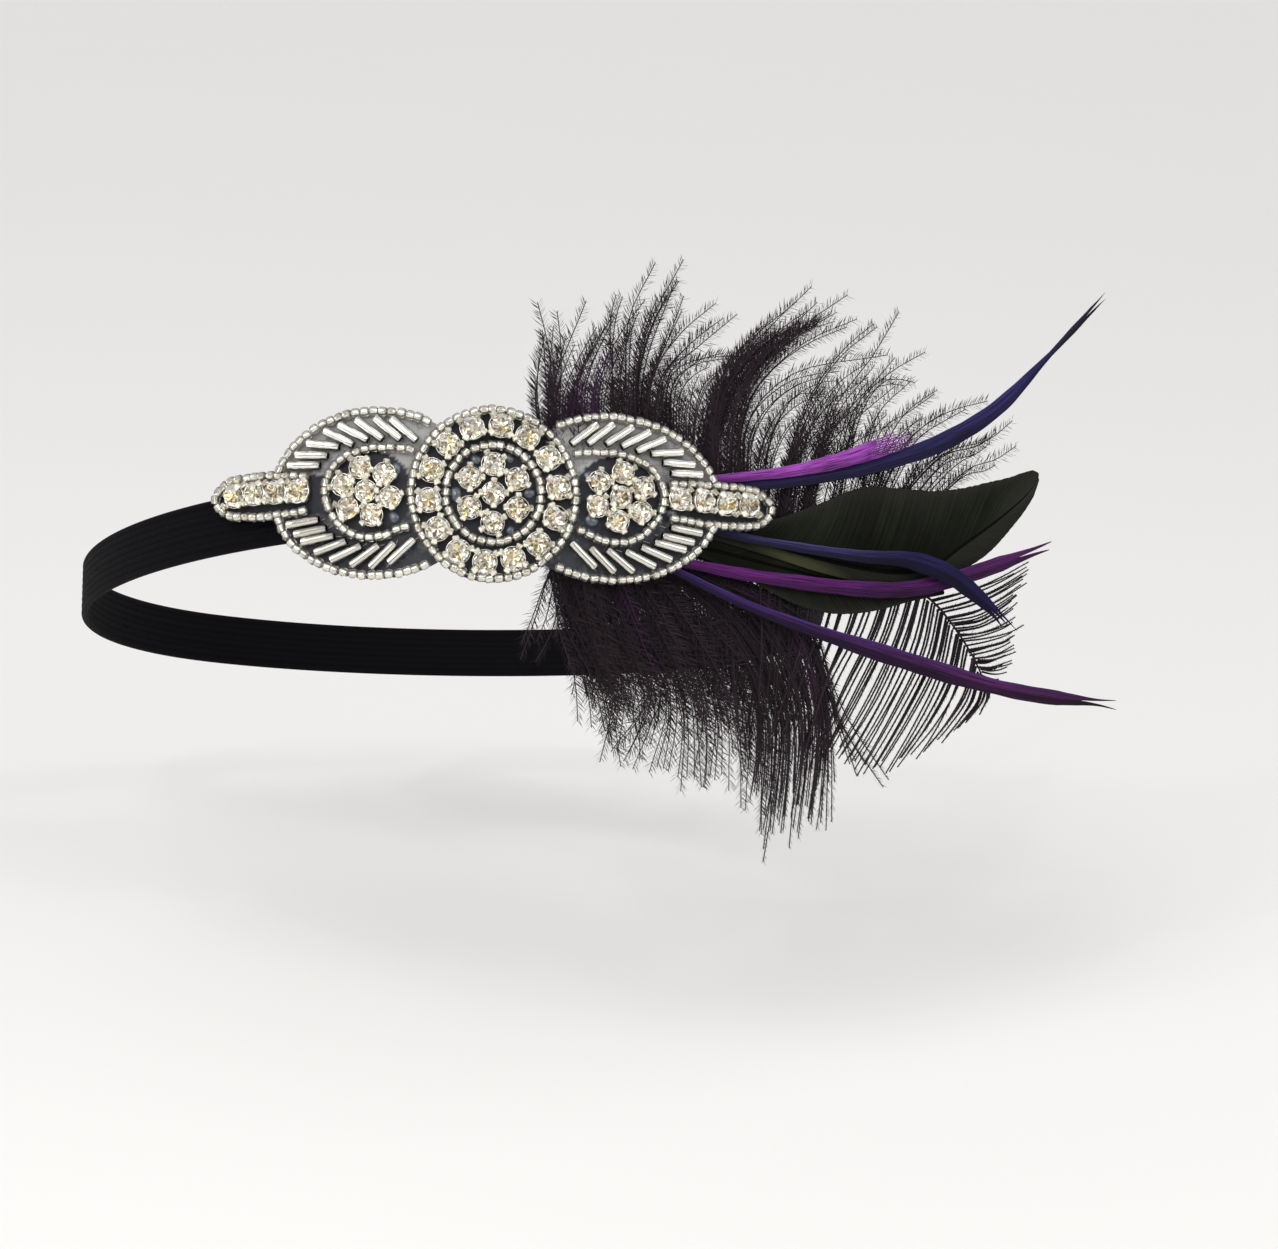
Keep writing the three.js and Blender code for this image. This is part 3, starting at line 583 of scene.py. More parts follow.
def addBeads(batch, route, rng):  # seed beads threaded along a route on the plate
    outline = [(x * bead["length"], r * bead["radius"]) for x, r in bead["outline"]]
    template = drilledTemplate(outline, bead["hole"], bead["sides"])
    line = platePoint(*route.T, beadLevel)
    lengths = lengthsOf(line)
    count = int(round(lengths[-1] / bead["pitch"]))
    pitch = lengths[-1] / count
    places = (np.arange(count) + 0.5) * pitch + rng.normal(0, bead["unevenPlace"], count) * pitch
    step = bead["lookAhead"]
    before, after = (pointsAt(line, lengths, places + aside) for aside in (-step, step))
    origins, plateAxes = plateFrame(*pointsAt(route, lengths, places).T, beadLevel)
    x = unit(unit(after - before) + rng.normal(0, bead["tilt"], (count, 3)))
    y = unit(np.cross(plateAxes[:, :, 2], x))
    axes = np.stack([x, y, np.cross(x, y)], -1)
    long = rng.normal(pitch / bead["pitch"], bead["unevenLength"], count)
    wide = rng.normal(1.0, bead["unevenWidth"], count)
    size = np.stack([np.minimum(long, bead["longest"] * pitch / bead["pitch"]), wide, wide], -1)
    origins = origins + rng.normal(0, bead["shift"], (count, 3))
    addCopies(batch, template, origins, axes * size[:, None, :], rng.random(count))
    inner = route[3:-3:6]  # short of the ends, and coarser
    addThread(batch, inner, beadLevel, thread["coreRadius"], thread["coreSides"])


def makeStrands():
    rng = np.random.default_rng(bead["seed"])
    m, full = medallion, 2 * math.pi
    routes = {"medallion_rim": [ellipseRoute(0, m["rimAlong"], m["rimUp"], 0, full)],
              "medallion_inner_rim": [ellipseRoute(0, m["innerAlong"], m["innerUp"], 0, full)]}
    arc = ellipseRoute(leaf["centre"], leaf["along"], leaf["up"], math.radians(leaf["start"]), leafStop())
    for label, sign in sides:
        routes[label + "_disc_rim"] = [smoothRoute(discStrand, bead["strandSteps"]) * [sign, 1]]
        tip = (smoothRoute(tipStrand, bead["strandSteps"]) + [tipShift[label], 0]) * [sign, 1]
        routes[label + "_leaf_rim"] = [arc * [sign, 1], arc * [sign, -1], tip]
    for node, strands in routes.items():
        batch = newBatch()
        for route in strands:
            addBeads(batch, route, rng)
        makeObject(batch, node + "_beads", [beadGlass, beadLining, threadFinish], [node])


def makeBugles():
    rng = np.random.default_rng(bugle["seed"])
    half, radius = bugle["length"] / 2, bugle["radius"]
    outline = [(half / 2, radius)] + [(half - short, radius * share) for short, share in bugle["ends"]]
    template = drilledTemplate(outline, bugle["hole"], bugle["sides"])
    for label, sign in sides:
        for place, rows in bugleRows.items():
            alongs, ups, slants = np.array(rows, float).T
            origins, axes = plateFrame(sign * alongs, ups, stoneLevel + radius)
            slant = (np.radians(slants) * sign + rng.normal(0, bugle["tilt"], len(rows)))[:, None]
            x = axes[:, :, 0] * np.cos(slant) + axes[:, :, 1] * np.sin(slant)
            z = axes[:, :, 2]
            # painted shade: the bottom rows are given darker linings than the top rows
            tones = rng.uniform(*bugle["dullAndShade"][place], len(rows))
            batch = newBatch()
            addCopies(batch, template, origins, np.stack([x, np.cross(z, x), z], -1), tones)
            node = f"{label}_{place}_bugles"
            makeObject(batch, node + "_glass", [bugleGlass, bugleLining], [node])


makeStrands()
makeBugles()
print("beads made")

# Stones: a faceted crown over a foiled point, in a cup with four claws. The crown's levels, a claw's path and
# the cup's outline are pairs of a reach and a height.
stone = {"table": (1.36, 2.56), "star": (1.90, 2.30), "girdle": (2.36, 1.62), "waist": (1.24, 0.9),
         "culet": 0.35, "facets": 8, "glassIndex": 1.58, "clawTurn": 45, "nestTurn": 30, "lean": 0.06,
         "seed": 21}
claw = {"path": [(2.36, 0.3), (2.68, 0.9), (2.88, 1.5), (3.02, 2.08), (2.84, 2.54), (2.20, 2.66)],
        "width": [1.1, 1.15, 1.2, 1.25, 1.25, 1.0], "wall": 0.48, "count": 4,
        "corners": [(-0.5, -0.5), (0.5, -0.5), (0.56, 0.0), (0.40, 0.5), (-0.40, 0.5), (-0.56, 0.0)]}
cup = {"sides": 28, "outline": [(1.80, 0.0), (2.32, 0.0), (2.50, 0.45), (2.56, 1.25), (2.44, 1.46),
                                (2.34, 1.25), (2.05, 0.45), (1.75, 0.25)]}
# painted reflections: each foil facet is coloured at random, from white highlights to olive, brown and
# near-black darks
foilFlashes = [(0.0, (0.99, 0.98, 0.93)), (0.20, (0.96, 0.93, 0.78)), (0.34, (0.78, 0.68, 0.30)),
             (0.46, (0.28, 0.19, 0.06)), (0.56, (0.97, 0.95, 0.88)), (0.67, (0.52, 0.30, 0.10)),
             (0.77, (0.88, 0.76, 0.60)), (0.86, (0.08, 0.06, 0.04)), (1.0, (0.99, 0.97, 0.92))]


def foilMaterial():
    finish = Finish("stone_foil", {"Metallic": 1.0})
    scratch = finish.noise(900, 2)
    # the painted reflection of each facet, picked by its random tone
    tint = finish.ramp(finish.mark("tones"), foilFlashes)
    colour = finish.mix(finish.times(scratch, 0.2), tint, (0.55, 0.52, 0.45))
    return finish.done(colour, scratch, (0.02, 0.12))


def stoneParts():  # points, and faces with their material: 0 for the glass crown, 1 for the foil
    facets = stone["facets"]
    k = np.arange(facets)

    def ring(level, turn):
        reach, top = stone[level]
        angle = (k + turn) * 2 * math.pi / facets
        return np.stack([reach * np.cos(angle), reach * np.sin(angle), np.full(facets, top)], 1)

    def around(*corners):
        return np.stack(np.broadcast_arrays(*corners), 1)

    points = np.vstack([ring("table", 0), ring("star", 0.5), ring("girdle", 0), ring("girdle", 0.5),
                        ring("waist", 0), [[0, 0, stone["culet"]]]])
    t, s, g, h, w, culet = (facets * level for level in range(6))
    after, before = (k + 1) % facets, (k - 1) % facets
    crown = np.vstack([around(t + k, t + after, s + k), around(s + k, h + k, g + k),
                       around(s + k, g + after, h + k)])
    foil = np.vstack([around(w + k, g + k, h + before), around(w + k, h + k, g + k)])
    return points, ((crown, 0), (around(t + k, s + k, g + k, s + before), 0), ((t + k)[None], 0),
                    (foil, 1), (around(culet, w + after, h + k, w + k), 1))


def clawSections():
    path = np.array(claw["path"])
    heading = unit(np.gradient(path, axis=0))
    across, deep = np.array(claw["corners"]).T
    deep = deep * claw["wall"]
    return np.array([np.stack([reach + ahead[1] * deep, across * width, top - ahead[0] * deep], 1)
                     for (reach, top), ahead, width in zip(path, heading, claw["width"])])


def spun(points, angle):
    x, y, z = points.reshape(-1, 3).T
    turned = [x * math.cos(angle) - y * math.sin(angle), x * math.sin(angle) + y * math.cos(angle), z]
    return np.stack(turned, 1)


def addStone(batch, along, up, turn, size, rng):
    origin, axes = plateFrame(np.array([along]), np.array([up]), stoneLevel)
    lean, tip = (Matrix.Rotation(rng.normal(0, stone["lean"]), 3, axis) for axis in "XY")

    def place(points):
        return origin[0] + size * spun(points, turn) @ (axes[0] @ np.array(lean @ tip)).T

    points, shells = stoneParts()
    start = batch["count"]
    addPart(batch, place(spun(points, rng.uniform(0, math.pi / 4))), np.zeros((0, 3), int))
    for faces, slot in shells:
        addFaces(batch, faces, start, slot=slot, smooth=False, tone=rng.random(len(faces)))
    reach, top = np.array(cup["outline"]).T
    around = turns(cup["sides"])[:, None]
    bowl = np.stack(np.broadcast_arrays(reach * np.cos(around), reach * np.sin(around), top), -1)
    faces = gridFaces(*bowl.shape[:2], wrapRows=True, wrapColumns=True)[0]
    addPart(batch, place(bowl), outward(bowl, faces), slot=2)
    sections = clawSections()
    levels, corners = sections.shape[:2]
    wraps = gridFaces(levels, corners, wrapColumns=True)[0]
    ends = np.stack([np.arange(corners)[::-1], (levels - 1) * corners + np.arange(corners)])
    if volume(sections, wraps) < 0:
        wraps, ends = wraps[:, ::-1], ends[:, ::-1]
    for angle in turns(claw["count"]):
        start = batch["count"]
        addPart(batch, place(spun(sections, angle)), wraps, slot=2)
        addFaces(batch, ends, start, slot=2, smooth=False)


def makeStones():
    rng = np.random.default_rng(stone["seed"])
    glass = glassMaterial("stone_glass", (0.99, 0.985, 0.965), stone["glassIndex"], 0.02)
    materials = [glass, foilMaterial(), clawMetal]
    clawTurn, nestTurn = math.radians(stone["clawTurn"]), math.radians(stone["nestTurn"])

    def single(node, along, up, turn, size):
        batch = newBatch()
        addStone(batch, along, up, turn, size, rng)
        makeObject(batch, node + "_set", materials, [node])

    def ring(label, centre, across, high, count, first, claws, size):
        for index in range(count):
            turn = math.radians(first + 360 * index / count)
            place = (centre[0] + across * math.cos(turn), centre[1] + high * math.sin(turn))
            single(f"{label}_{index + 1:02d}", *place, turn + claws, size)

    m = medallion
    ring("medallion_stone", (0, 0), m["stoneAlong"], m["stoneUp"], m["stones"], m["first"], clawTurn,
         m["ringSize"])
    ring("heart_stone", (0, 0), m["heartAlong"], m["heartUp"], m["heart"], m["heartFirst"], nestTurn,
         m["heartSize"])
    single("heart_stone_centre", 0, 0, 0, m["heartSize"])
    for label, sign in sides:
        centre = (sign * disc["along"], disc["up"])
        reach = disc["stoneRing"]
        ring(label + "_disc_stone", centre, reach, reach, disc["stones"], disc[label], nestTurn, 1.0)
        single(label + "_disc_stone_centre", *centre, math.radians(disc[label] + disc["centre"]), 1.0)
        batch = newBatch()
        for along in tipStones["along"]:
            place = sign * (along + tipShift[label])
            addStone(batch, place, tipStones["up"], clawTurn, tipStones["size"], rng)
        makeObject(batch, label + "_tip_stones_set", materials, [label + "_tip_stones"])


makeStones()
print("stones made")

# Plumes: a shaft and vanes of soft barbs, each barb fringed with barbules. A vane's barbs lie between its
# guide lines, which are rows of four places on the fan, from the root to the tip.
outerTop = [
    [(18, 3), (16.6, 24.7), (20.6, 34.5), (28.1, 39.2)],
    [(19, 2), (19.6, 23.5), (30.1, 42.6), (46.2, 58.2)],
    [(21, 1), (22.8, 25.4), (34.5, 41.5), (48.1, 54)],
    [(22, 1), (24.6, 25.5), (40.3, 45.4), (55.3, 56.1)],
    [(23, 1), (25.7, 28.5), (35.3, 43.1), (52, 50.1)],
    [(24, 1), (27.4, 27.4), (42.9, 43.3), (59.6, 51.7)],
    [(27, 2), (27.2, 22.7), (39.6, 35.7), (68.1, 44.1)],
    [(31, 2), (33.3, 20.2), (40.1, 30.3), (48, 31.1)],
    [(35, -2), (38.7, 13.4), (45.8, 21.1), (55.8, 26.9)],
    [(37, -1), (41.6, 22.6), (54.7, 40.6), (67.8, 50.2)],
    [(41, -2), (46.9, 14.2), (55.5, 20.9), (67, 26.8)],
    [(42, -1), (51, 28.2), (63.3, 43.2), (72.2, 55.3)],
    [(48, 0), (56.6, 28.8), (67.7, 39.6), (80.4, 47.2)],
    [(52, 1), (61.3, 29.3), (70.4, 38.3), (79, 38.4)],
    [(56, 3), (63.9, 25.6), (70.8, 30.3), (79.5, 36.4)],
    [(61, 6), (70.3, 23), (81.3, 31.4), (93.5, 35.9)],
    [(70, 10), (81.7, 21.7), (93.6, 26.1), (100.8, 31.7)],
    [(78, 9), (90.2, 18.5), (97.2, 20.8), (103.8, 24.7)]]
outerLock = [
    [(14.6, 15.8), (18.2, 27.7), (27.8, 40.6), (44.0, 53.3)],
    [(18.5, 15.0), (24.3, 28.4), (36.0, 41.0), (53.5, 51.3)]]
outerComb = [
    [(41.9, -14), (41.1, -21.9), (38.8, -31.8), (32.5, -48.3)],
    [(53.6, -13), (50.9, -22.1), (46.7, -33.8), (43.2, -49.4)],
    [(61.6, -12), (57.9, -22.4), (51.7, -34.3), (45.5, -52.5)],
    [(68.6, -11.5), (64.9, -22.8), (57.8, -36.4), (49.4, -52.4)],
    [(73.6, -12), (69.9, -23.3), (63.8, -36.9), (54.3, -52.1)],
    [(78.7, -14.4), (76.2, -26.2), (70, -39), (60.7, -55.9)],
    [(84.1, -19), (81.5, -30.1), (75.3, -42.1), (67.9, -54)],
    [(88.4, -23.8), (86.3, -33.1), (80.5, -43.5), (74.2, -51.2)],
    [(91.7, -27.8), (89.7, -35.9), (84.6, -43.3), (80, -48.5)],
    [(94, -31.2), (92.8, -36.6), (89.5, -40.5), (86.2, -44)],
    [(96, -34.4), (96, -36), (95.7, -37), (95.3, -37.8)]]
outerEnd = [
    [(78.2, -13.8), (87.9, -10.8), (97.2, -7.1), (107.2, -2)],
    [(81.3, -16.4), (90, -14), (98.3, -10.4), (106.7, -5.5)],
    [(84.5, -19.2), (92.2, -17.6), (98.4, -13.8), (103.6, -10)],
    [(87.2, -22.4), (93.4, -21.4), (100.7, -19.2), (104.8, -16.8)],
    [(90, -25.6), (95.6, -24), (100.8, -22.3), (104.9, -19.8)],
    [(91.7, -27.6), (95.8, -27.4), (99.4, -26.1), (103.2, -24.7)],
    [(93.4, -30.4), (96.1, -30.9), (98.1, -30.8), (100.2, -30)]]
lowerLeft = [
    [(-21, -12.6), (-22.8, -15.7), (-25.4, -24.4), (-28.6, -33.9)],
    [(-20.2, -12.6), (-20, -19.6), (-21.1, -26.7), (-24.6, -33.8)],
    [(-19.8, -13.6), (-19.4, -20.6), (-16.9, -29), (-15.8, -35.5)],
    [(-18.8, -13.5), (-18.9, -20.6), (-16, -26), (-14.5, -31.4)]]
lowerMass = [
    [(-22.5, -11), (-18.4, -26.9), (-12.3, -37.6), (-8.4, -48.8)],
    [(-20, -11), (-14.7, -28), (-8.1, -40), (-4.4, -52.6)],
    [(-17.5, -11), (-11.8, -28.8), (-4.4, -41.6), (1.3, -55.8)],
    [(-15.6, -10.4), (-12.3, -28.3), (-9.2, -33.2), (-8.2, -40.6)],
    [(-14.5, -10.3), (-10.6, -28.7), (-6, -41), (-8.6, -48.7)],
    [(-12.8, -10.2), (-8.3, -29.1), (-4.1, -38.9), (-5.3, -52.5)],
    [(-11.2, -10.1), (-4.7, -29.9), (0.2, -41.7), (1.5, -56)],
    [(-10, -10), (0, -29.6), (5.5, -39.4), (-2.6, -52.7)],
    [(-9.2, -10), (0.6, -29), (7, -40), (3.4, -55)],
    [(-8.3, -10), (1.1, -28.5), (9.1, -40.2), (7.1, -56.5)],
    [(-7.4, -10), (2.2, -28), (10.4, -40.2), (10.2, -57.8)],
    [(-6.6, -10), (3.4, -27.4), (11.7, -40.1), (13.1, -59.6)],
    [(-4.9, -10), (7, -27.1), (15.1, -40.9), (19.2, -62.1)],
    [(-2.6, -10), (10.5, -26.9), (20, -41.7), (19.9, -58)],
    [(-1.6, -10), (12.4, -26.5), (21.8, -41), (24.6, -61)],
    [(-0.8, -10), (14.1, -26.2), (23.5, -40.5), (29.8, -60.2)],
    [(1.6, -10), (16.4, -24.5), (29.6, -37), (32.6, -64.7)],
    [(4.4, -11), (20.4, -22.4), (32, -40), (34.4, -66)]]
lowerBrush = [
    [(3.9, -11), (19.9, -22.2), (32, -40), (34.4, -69.2)],
    [(7.5, -11), (24.7, -21.9), (38.9, -41.2), (39.4, -75.8)],
    [(11.1, -12), (29.6, -21.5), (41, -40.5), (43.5, -72)],
    [(14.7, -13), (33.2, -21.3), (45, -39.3), (45.7, -68.3)],
    [(18.3, -13), (37.5, -21), (46.9, -40.2), (48.2, -70.3)],
    [(22, -13), (40.6, -19.7), (49.9, -39), (49.4, -67.7)],
    [(25.6, -13), (43.7, -19.5), (51.3, -40), (54.9, -68.5)],
    [(32, -18), (46.4, -29.7), (54.4, -43.2), (67.9, -57.4)]]
lowerVeil = [
    [(12.9, -12), (14.2, -22.7), (15.5, -30.8), (16.6, -37.8)],
    [(17.7, -12), (18.6, -22.4), (20, -30.5), (21.3, -39.6)],
    [(22.5, -12), (23.2, -23.1), (23.9, -33.3), (24.4, -43.6)],
    [(27.4, -12), (27.8, -23.8), (27.4, -36.2), (27.8, -47.5)],
    [(32.9, -12), (32.5, -25.1), (31.4, -37), (31.1, -50.4)],
    [(37.2, -12), (37.5, -25.8), (37.4, -38.7), (37.5, -52.2)],
    [(41.6, -12), (41.9, -27.1), (42.2, -40.5), (42.6, -54)]]
upperTop = [
    [(-24, 10), (-26.3, 24.7), (-25.7, 31.6), (-24.4, 38.9)],
    [(-21, 10), (-21.4, 26.5), (-22, 37.9), (-23.8, 47.7)],
    [(-20, 10), (-22.1, 25), (-18.8, 34.3), (-11.7, 48)],
    [(-17, 10), (-16.5, 27.6), (-11.8, 37.2), (-6.3, 45.8)],
    [(-13, 10), (-12.5, 27.2), (-5.3, 40.1), (3.8, 50.9)],
    [(-5, 10), (-4.2, 31.8), (-3.1, 44.2), (4.5, 58.5)],
    [(-2, 10), (-0.7, 31.4), (2.8, 43.3), (13.4, 60.1)],
    [(0, 10), (2.4, 29.4), (8.3, 41.7), (13.6, 52.9)],
    [(2, 10), (3.8, 31.1), (12.3, 42.5), (23.2, 51.3)],
    [(4, 10), (6.8, 31.4), (14.7, 38.9), (25.6, 47.6)],
    [(7, 10), (7.3, 32.2), (14.6, 37.3), (28.6, 39.9)],
    [(14, 8), (14.5, 22), (18, 31), (26, 37)]]


# barbs are rows of a count and its shortest and longest share of the length; dyed is a span of guides
def vane(guides, barbs, fluff, lean, wander, hidden=True, whole=True, jitter=0.5, clump=0.0, dyed=(0, 0),
         spread=3.0, thick=1.0):
    return {"guides": guides, "barbs": barbs, "fluff": fluff, "lean": lean, "wander": wander,
            "hidden": hidden, "whole": whole, "jitter": jitter, "clump": clump, "dyed": dyed,
            "spread": spread, "thick": thick}


plumes = {
    "plume_outer": {
        "layer": -0.6, "seed": 31,
        "shaft": [(3, -3), (30, -4), (60, -8.5), (72, -11.2), (78.5, -14), (84.5, -19.2), (91.7, -27.6),
                  (96.2, -35.5)],
        "vanes": [vane(outerTop, [(60, 0.62, 1.0), (72, 0.26, 0.60)], 2.8, 54, 2.0, clump=0.06),
                  vane(outerLock, [(18, 0.7, 1.0)], 2.8, 52, 1.6, clump=0.3, spread=1.5),
                  vane(outerComb, [(62, 0.93, 1.0)], 1.1, 36, 0.5, hidden=False, whole=False, jitter=0.16,
                       spread=0.8, thick=1.55),
                  vane(outerEnd, [(38, 0.8, 1.0)], 1.0, 36, 0.6, hidden=False, whole=False, jitter=0.2,
                       clump=0.1, spread=0.8, thick=1.5)]},
    "plume_lower": {
        "layer": -1.6, "seed": 32, "shaft": [(2, -8), (8, -19), (31, -35), (42, -46)],
        "vanes": [vane(lowerLeft, [(5, 0.5, 0.9)], 2.5, 54, 0.8, jitter=0.4, clump=0.2, spread=1.5),
                  vane(lowerMass, [(96, 0.70, 1.0), (104, 0.4, 0.8)], 3.0, 54, 3.7, dyed=(8, 9)),
                  vane(lowerBrush, [(60, 0.82, 1.0), (48, 0.5, 0.9)], 1.9, 40, 1.5, clump=0.2, dyed=(3.5, 5),
                       spread=2.0, thick=1.2),
                  vane(lowerVeil, [(52, 0.7, 1.0)], 1.6, 38, 1.0, whole=False, jitter=0.4, clump=0.1,
                       spread=1.5, thick=1.3)]},
    "plume_upper": {
        "layer": -1.6, "seed": 33, "shaft": [(10, 4), (4, 14), (-8, 19), (-17, 24)],
        "vanes": [vane(upperTop, [(56, 0.6, 0.98), (150, 0.26, 0.56)], 2.9, 54, 2.0, clump=0.06,
                       dyed=(1.6, 4.2))]}}
shaft = {"steps": 30, "root": 0.6, "tip": 0.18, "sides": 8, "tone": 0.3}
barb = {"root": 0.21, "tip": 0.11, "steps": 14, "sides": 3, "tuck": 5.0, "foremost": 0.9, "calm": 0.3}
barbule = {"spacing": 0.60, "wide": 0.125, "twist": 20, "leanSpread": 7, "reachSpread": 0.2,
           "unevenPlace": 0.12, "lookAhead": 0.4}


def plumeMaterial():
    finish = Finish("black_plume", {"Sheen Weight": 0.05, "Sheen Roughness": 0.5,
                                    "Sheen Tint": (0.62, 0.52, 0.66), "Specular IOR Level": 0.12})
    body = finish.ramp(finish.mark("tones"), [(0.0, (0.004, 0.0033, 0.0045)), (0.6, (0.011, 0.0075, 0.011)),
                                              (0.93, (0.024, 0.011, 0.024)), (1.0, (0.042, 0.010, 0.055))])
    # painted light: barbs and barbules paler towards their tips, as if lit through from behind
    backlitTips = finish.mix(finish.times(finish.mark("along"), 0.6), body, (0.036, 0.024, 0.027))
    cloud = finish.noise(320, 3)
    colour = finish.mix(finish.times(cloud, 0.3), backlitTips, (0.016, 0.013, 0.017))
    return finish.done(colour, cloud, (0.55, 0.9))


def addBarbules(batch, line, settings, tone, rng):  # both sides of one barb, each a bent blade
    lengths = lengthsOf(line)
    places = np.arange(1.0, lengths[-1] - 0.2, barbule["spacing"])
    places = np.repeat(places, 2) + rng.normal(0, barbule["unevenPlace"], 2 * len(places))
    places = np.clip(places, 0.4, lengths[-1] - 0.1)
    count = len(places)
    side = np.tile([1.0, -1.0], count // 2)[:, None]
    share = places / lengths[-1]
    root, before, after = (pointsAt(line, lengths, np.minimum(places + step, lengths[-1]))
                           for step in (0, -barbule["lookAhead"], barbule["lookAhead"]))
    tangent = unit(after - before)
    across = unit(np.cross(hubNormal, tangent))
    twist = np.radians(rng.normal(0, barbule["twist"], count))[:, None]
    lean = rng.normal(settings["lean"], barbule["leanSpread"], count) * (1 - 0.12 * share)
    angle = np.radians(lean)[:, None]
    aside = side * np.cos(twist) * across + np.sin(twist) * hubNormal
    reach = settings["fluff"] * np.clip(rng.normal(1.0, barbule["reachSpread"], count), 0.4, 1.5)
    half = (reach * np.clip(0.7 + 1.6 * (1 - share), 0, 1) * 0.5)[:, None]  # shorter towards the barb's tip
    middle = root + (np.cos(angle) * tangent + np.sin(angle) * aside) * half
    end = middle + (np.cos(angle * 0.8) * tangent + np.sin(angle * 0.8) * aside) * half
    wide = unit(np.cross(unit(hubNormal + rng.normal(0, 0.4, (count, 3))), aside)) * barbule["wide"]
    points = np.stack([root - wide / 2, root + wide / 2, middle + wide * 0.6, end], 1)
    addPart(batch, points, np.arange(4 * count).reshape(-1, 4), tone=tone, along=np.repeat(share, 4))


def tucked(guide):  # a guide line carried on under what covers its root
    first, second = np.array(guide[:2], float)
    return [first + unit(first - second) * barb["tuck"], *guide]


def addVane(batch, settings, layer, rng):
    guides = [tucked(guide) if settings["hidden"] else guide for guide in settings["guides"]]
    routes = np.array([smoothRoute(guide, barb["steps"]) for guide in guides])
    last = len(routes) - 1
    run = np.linspace(0, 1, barb["steps"])
    wide = lengthsOf(routes[:, barb["steps"] // 2])  # the barbs lie evenly across the vane at half length
    barbs = [(at, 1.0) for at in range(last + 1)] if settings["whole"] else []
    for count, shortest, longest in settings["barbs"]:
        places = np.linspace(0, 1, count) + rng.uniform(-1, 1, count) * settings["jitter"] / count
        onGuides = np.interp(places * wide[-1], wide, np.arange(last + 1))
        barbs += zip(onGuides, rng.uniform(shortest, longest, count))
    for at, reach in barbs:
        low = int(np.clip(math.floor(at), 0, last - 1))
        share = np.clip(at - low, 0, 1)
        drawn = (share + (round(share) - share) * settings["clump"] * run)[:, None]
        flat = (1 - drawn) * routes[low] + drawn * routes[low + 1]
        sway = rng.normal(0, settings["wander"], 2) * (run ** 1.3)[:, None] + rng.normal(0, 0.3, 2)
        flat = flat + sway * (reach < 1 or barb["calm"])  # a barb on its guide sways less
        lengths = lengthsOf(flat)
        flat = pointsAt(flat, lengths, np.linspace(0, reach * lengths[-1], barb["steps"]))
        depth = layer + rng.normal(0, 0.5) + rng.normal(0, settings["spread"]) * run ** 1.6
        line = fanPoint(*flat.T, np.minimum(depth, barb["foremost"]))  # behind the biots
        dyed = settings["dyed"][0] < at < settings["dyed"][1] and reach < 0.8
        tone = 1.0 if dyed else 0.94 * rng.random() ** 1.4
        radius = (barb["root"] + (barb["tip"] - barb["root"]) * run) * settings["thick"]
        addTube(batch, line, radius, barb["sides"], hubNormal, tone=tone)
        addBarbules(batch, line, settings, tone, rng)


def makePlumes():
    material = plumeMaterial()
    for node, settings in plumes.items():
        rng = np.random.default_rng(settings["seed"])
        batch = newBatch()
        core = smoothRoute(settings["shaft"], shaft["steps"])
        radius = np.linspace(shaft["root"], shaft["tip"], shaft["steps"])
        line = fanPoint(*core.T, settings["layer"])
        addTube(batch, line, radius, shaft["sides"], hubNormal, tone=shaft["tone"])
        for part in settings["vanes"]:
            addVane(batch, part, settings["layer"], rng)
        makeObject(batch, node + "_barbs", [material], [node])
        print(node, sum(len(faces) * (faces.shape[1] - 2) for faces in batch["faces"]), "triangles")


makePlumes()
print("plumes made")

# Coque feathers: a row for each station, with the quill's height on the fan and the vane to either side
coques = {
    "coque_feather_upper": {"layer": 1.2, "lit": 1.0, "stations": [
        (10, -2, 1.4, 1.4), (33, -5, 6.3, 2.5), (46, -7, 13.2, 3), (57, -8.3, 19, 3), (68, -8.5, 20, 2.5),
        (77, -6.5, 18.2, 3), (86, -0.5, 13.7, 5.7), (94, 4.9, 10.5, 6), (100, 9.3, 7.8, 4.5),
        (105, 13.5, 5.4, 3), (107, 15.8, 3.6, 2.4), (108.4, 17.8, 1.2, 1.2)]},
    "coque_feather_lower": {"layer": 0.3, "lit": 0.0, "stations": [
        (10, -6, 1.4, 1.4), (25, -8, 3.5, 4), (40, -10, 5, 7.6), (50, -11, 6, 8), (62, -11, 6, 6.5),
        (72, -11, 4, 3.6), (81, -11.5, 0.9, 0.9)]}}
# olive is the colour of painted highlights and sheen, gleam that of a painted highlight streak
coque = {"columns": 330, "rows": 15, "seed": 60, "slant": 9.0, "camber": 0.45, "wall": 0.14, "ridge": 0.05,
         "pitch": 1.3, "narrowest": 0.3, "quillRoot": 0.5, "quillTip": 0.12, "quillSteps": 60,
         "quillShort": 3, "quillSides": 8, "quillLift": 0.05,
         "dark": (0.0025, 0.0027, 0.0022), "green": (0.0105, 0.0118, 0.0085), "olive": (0.030, 0.030, 0.026),
         "quill": (0.0012, 0.0012, 0.0011), "gleam": (0.044, 0.046, 0.022)}


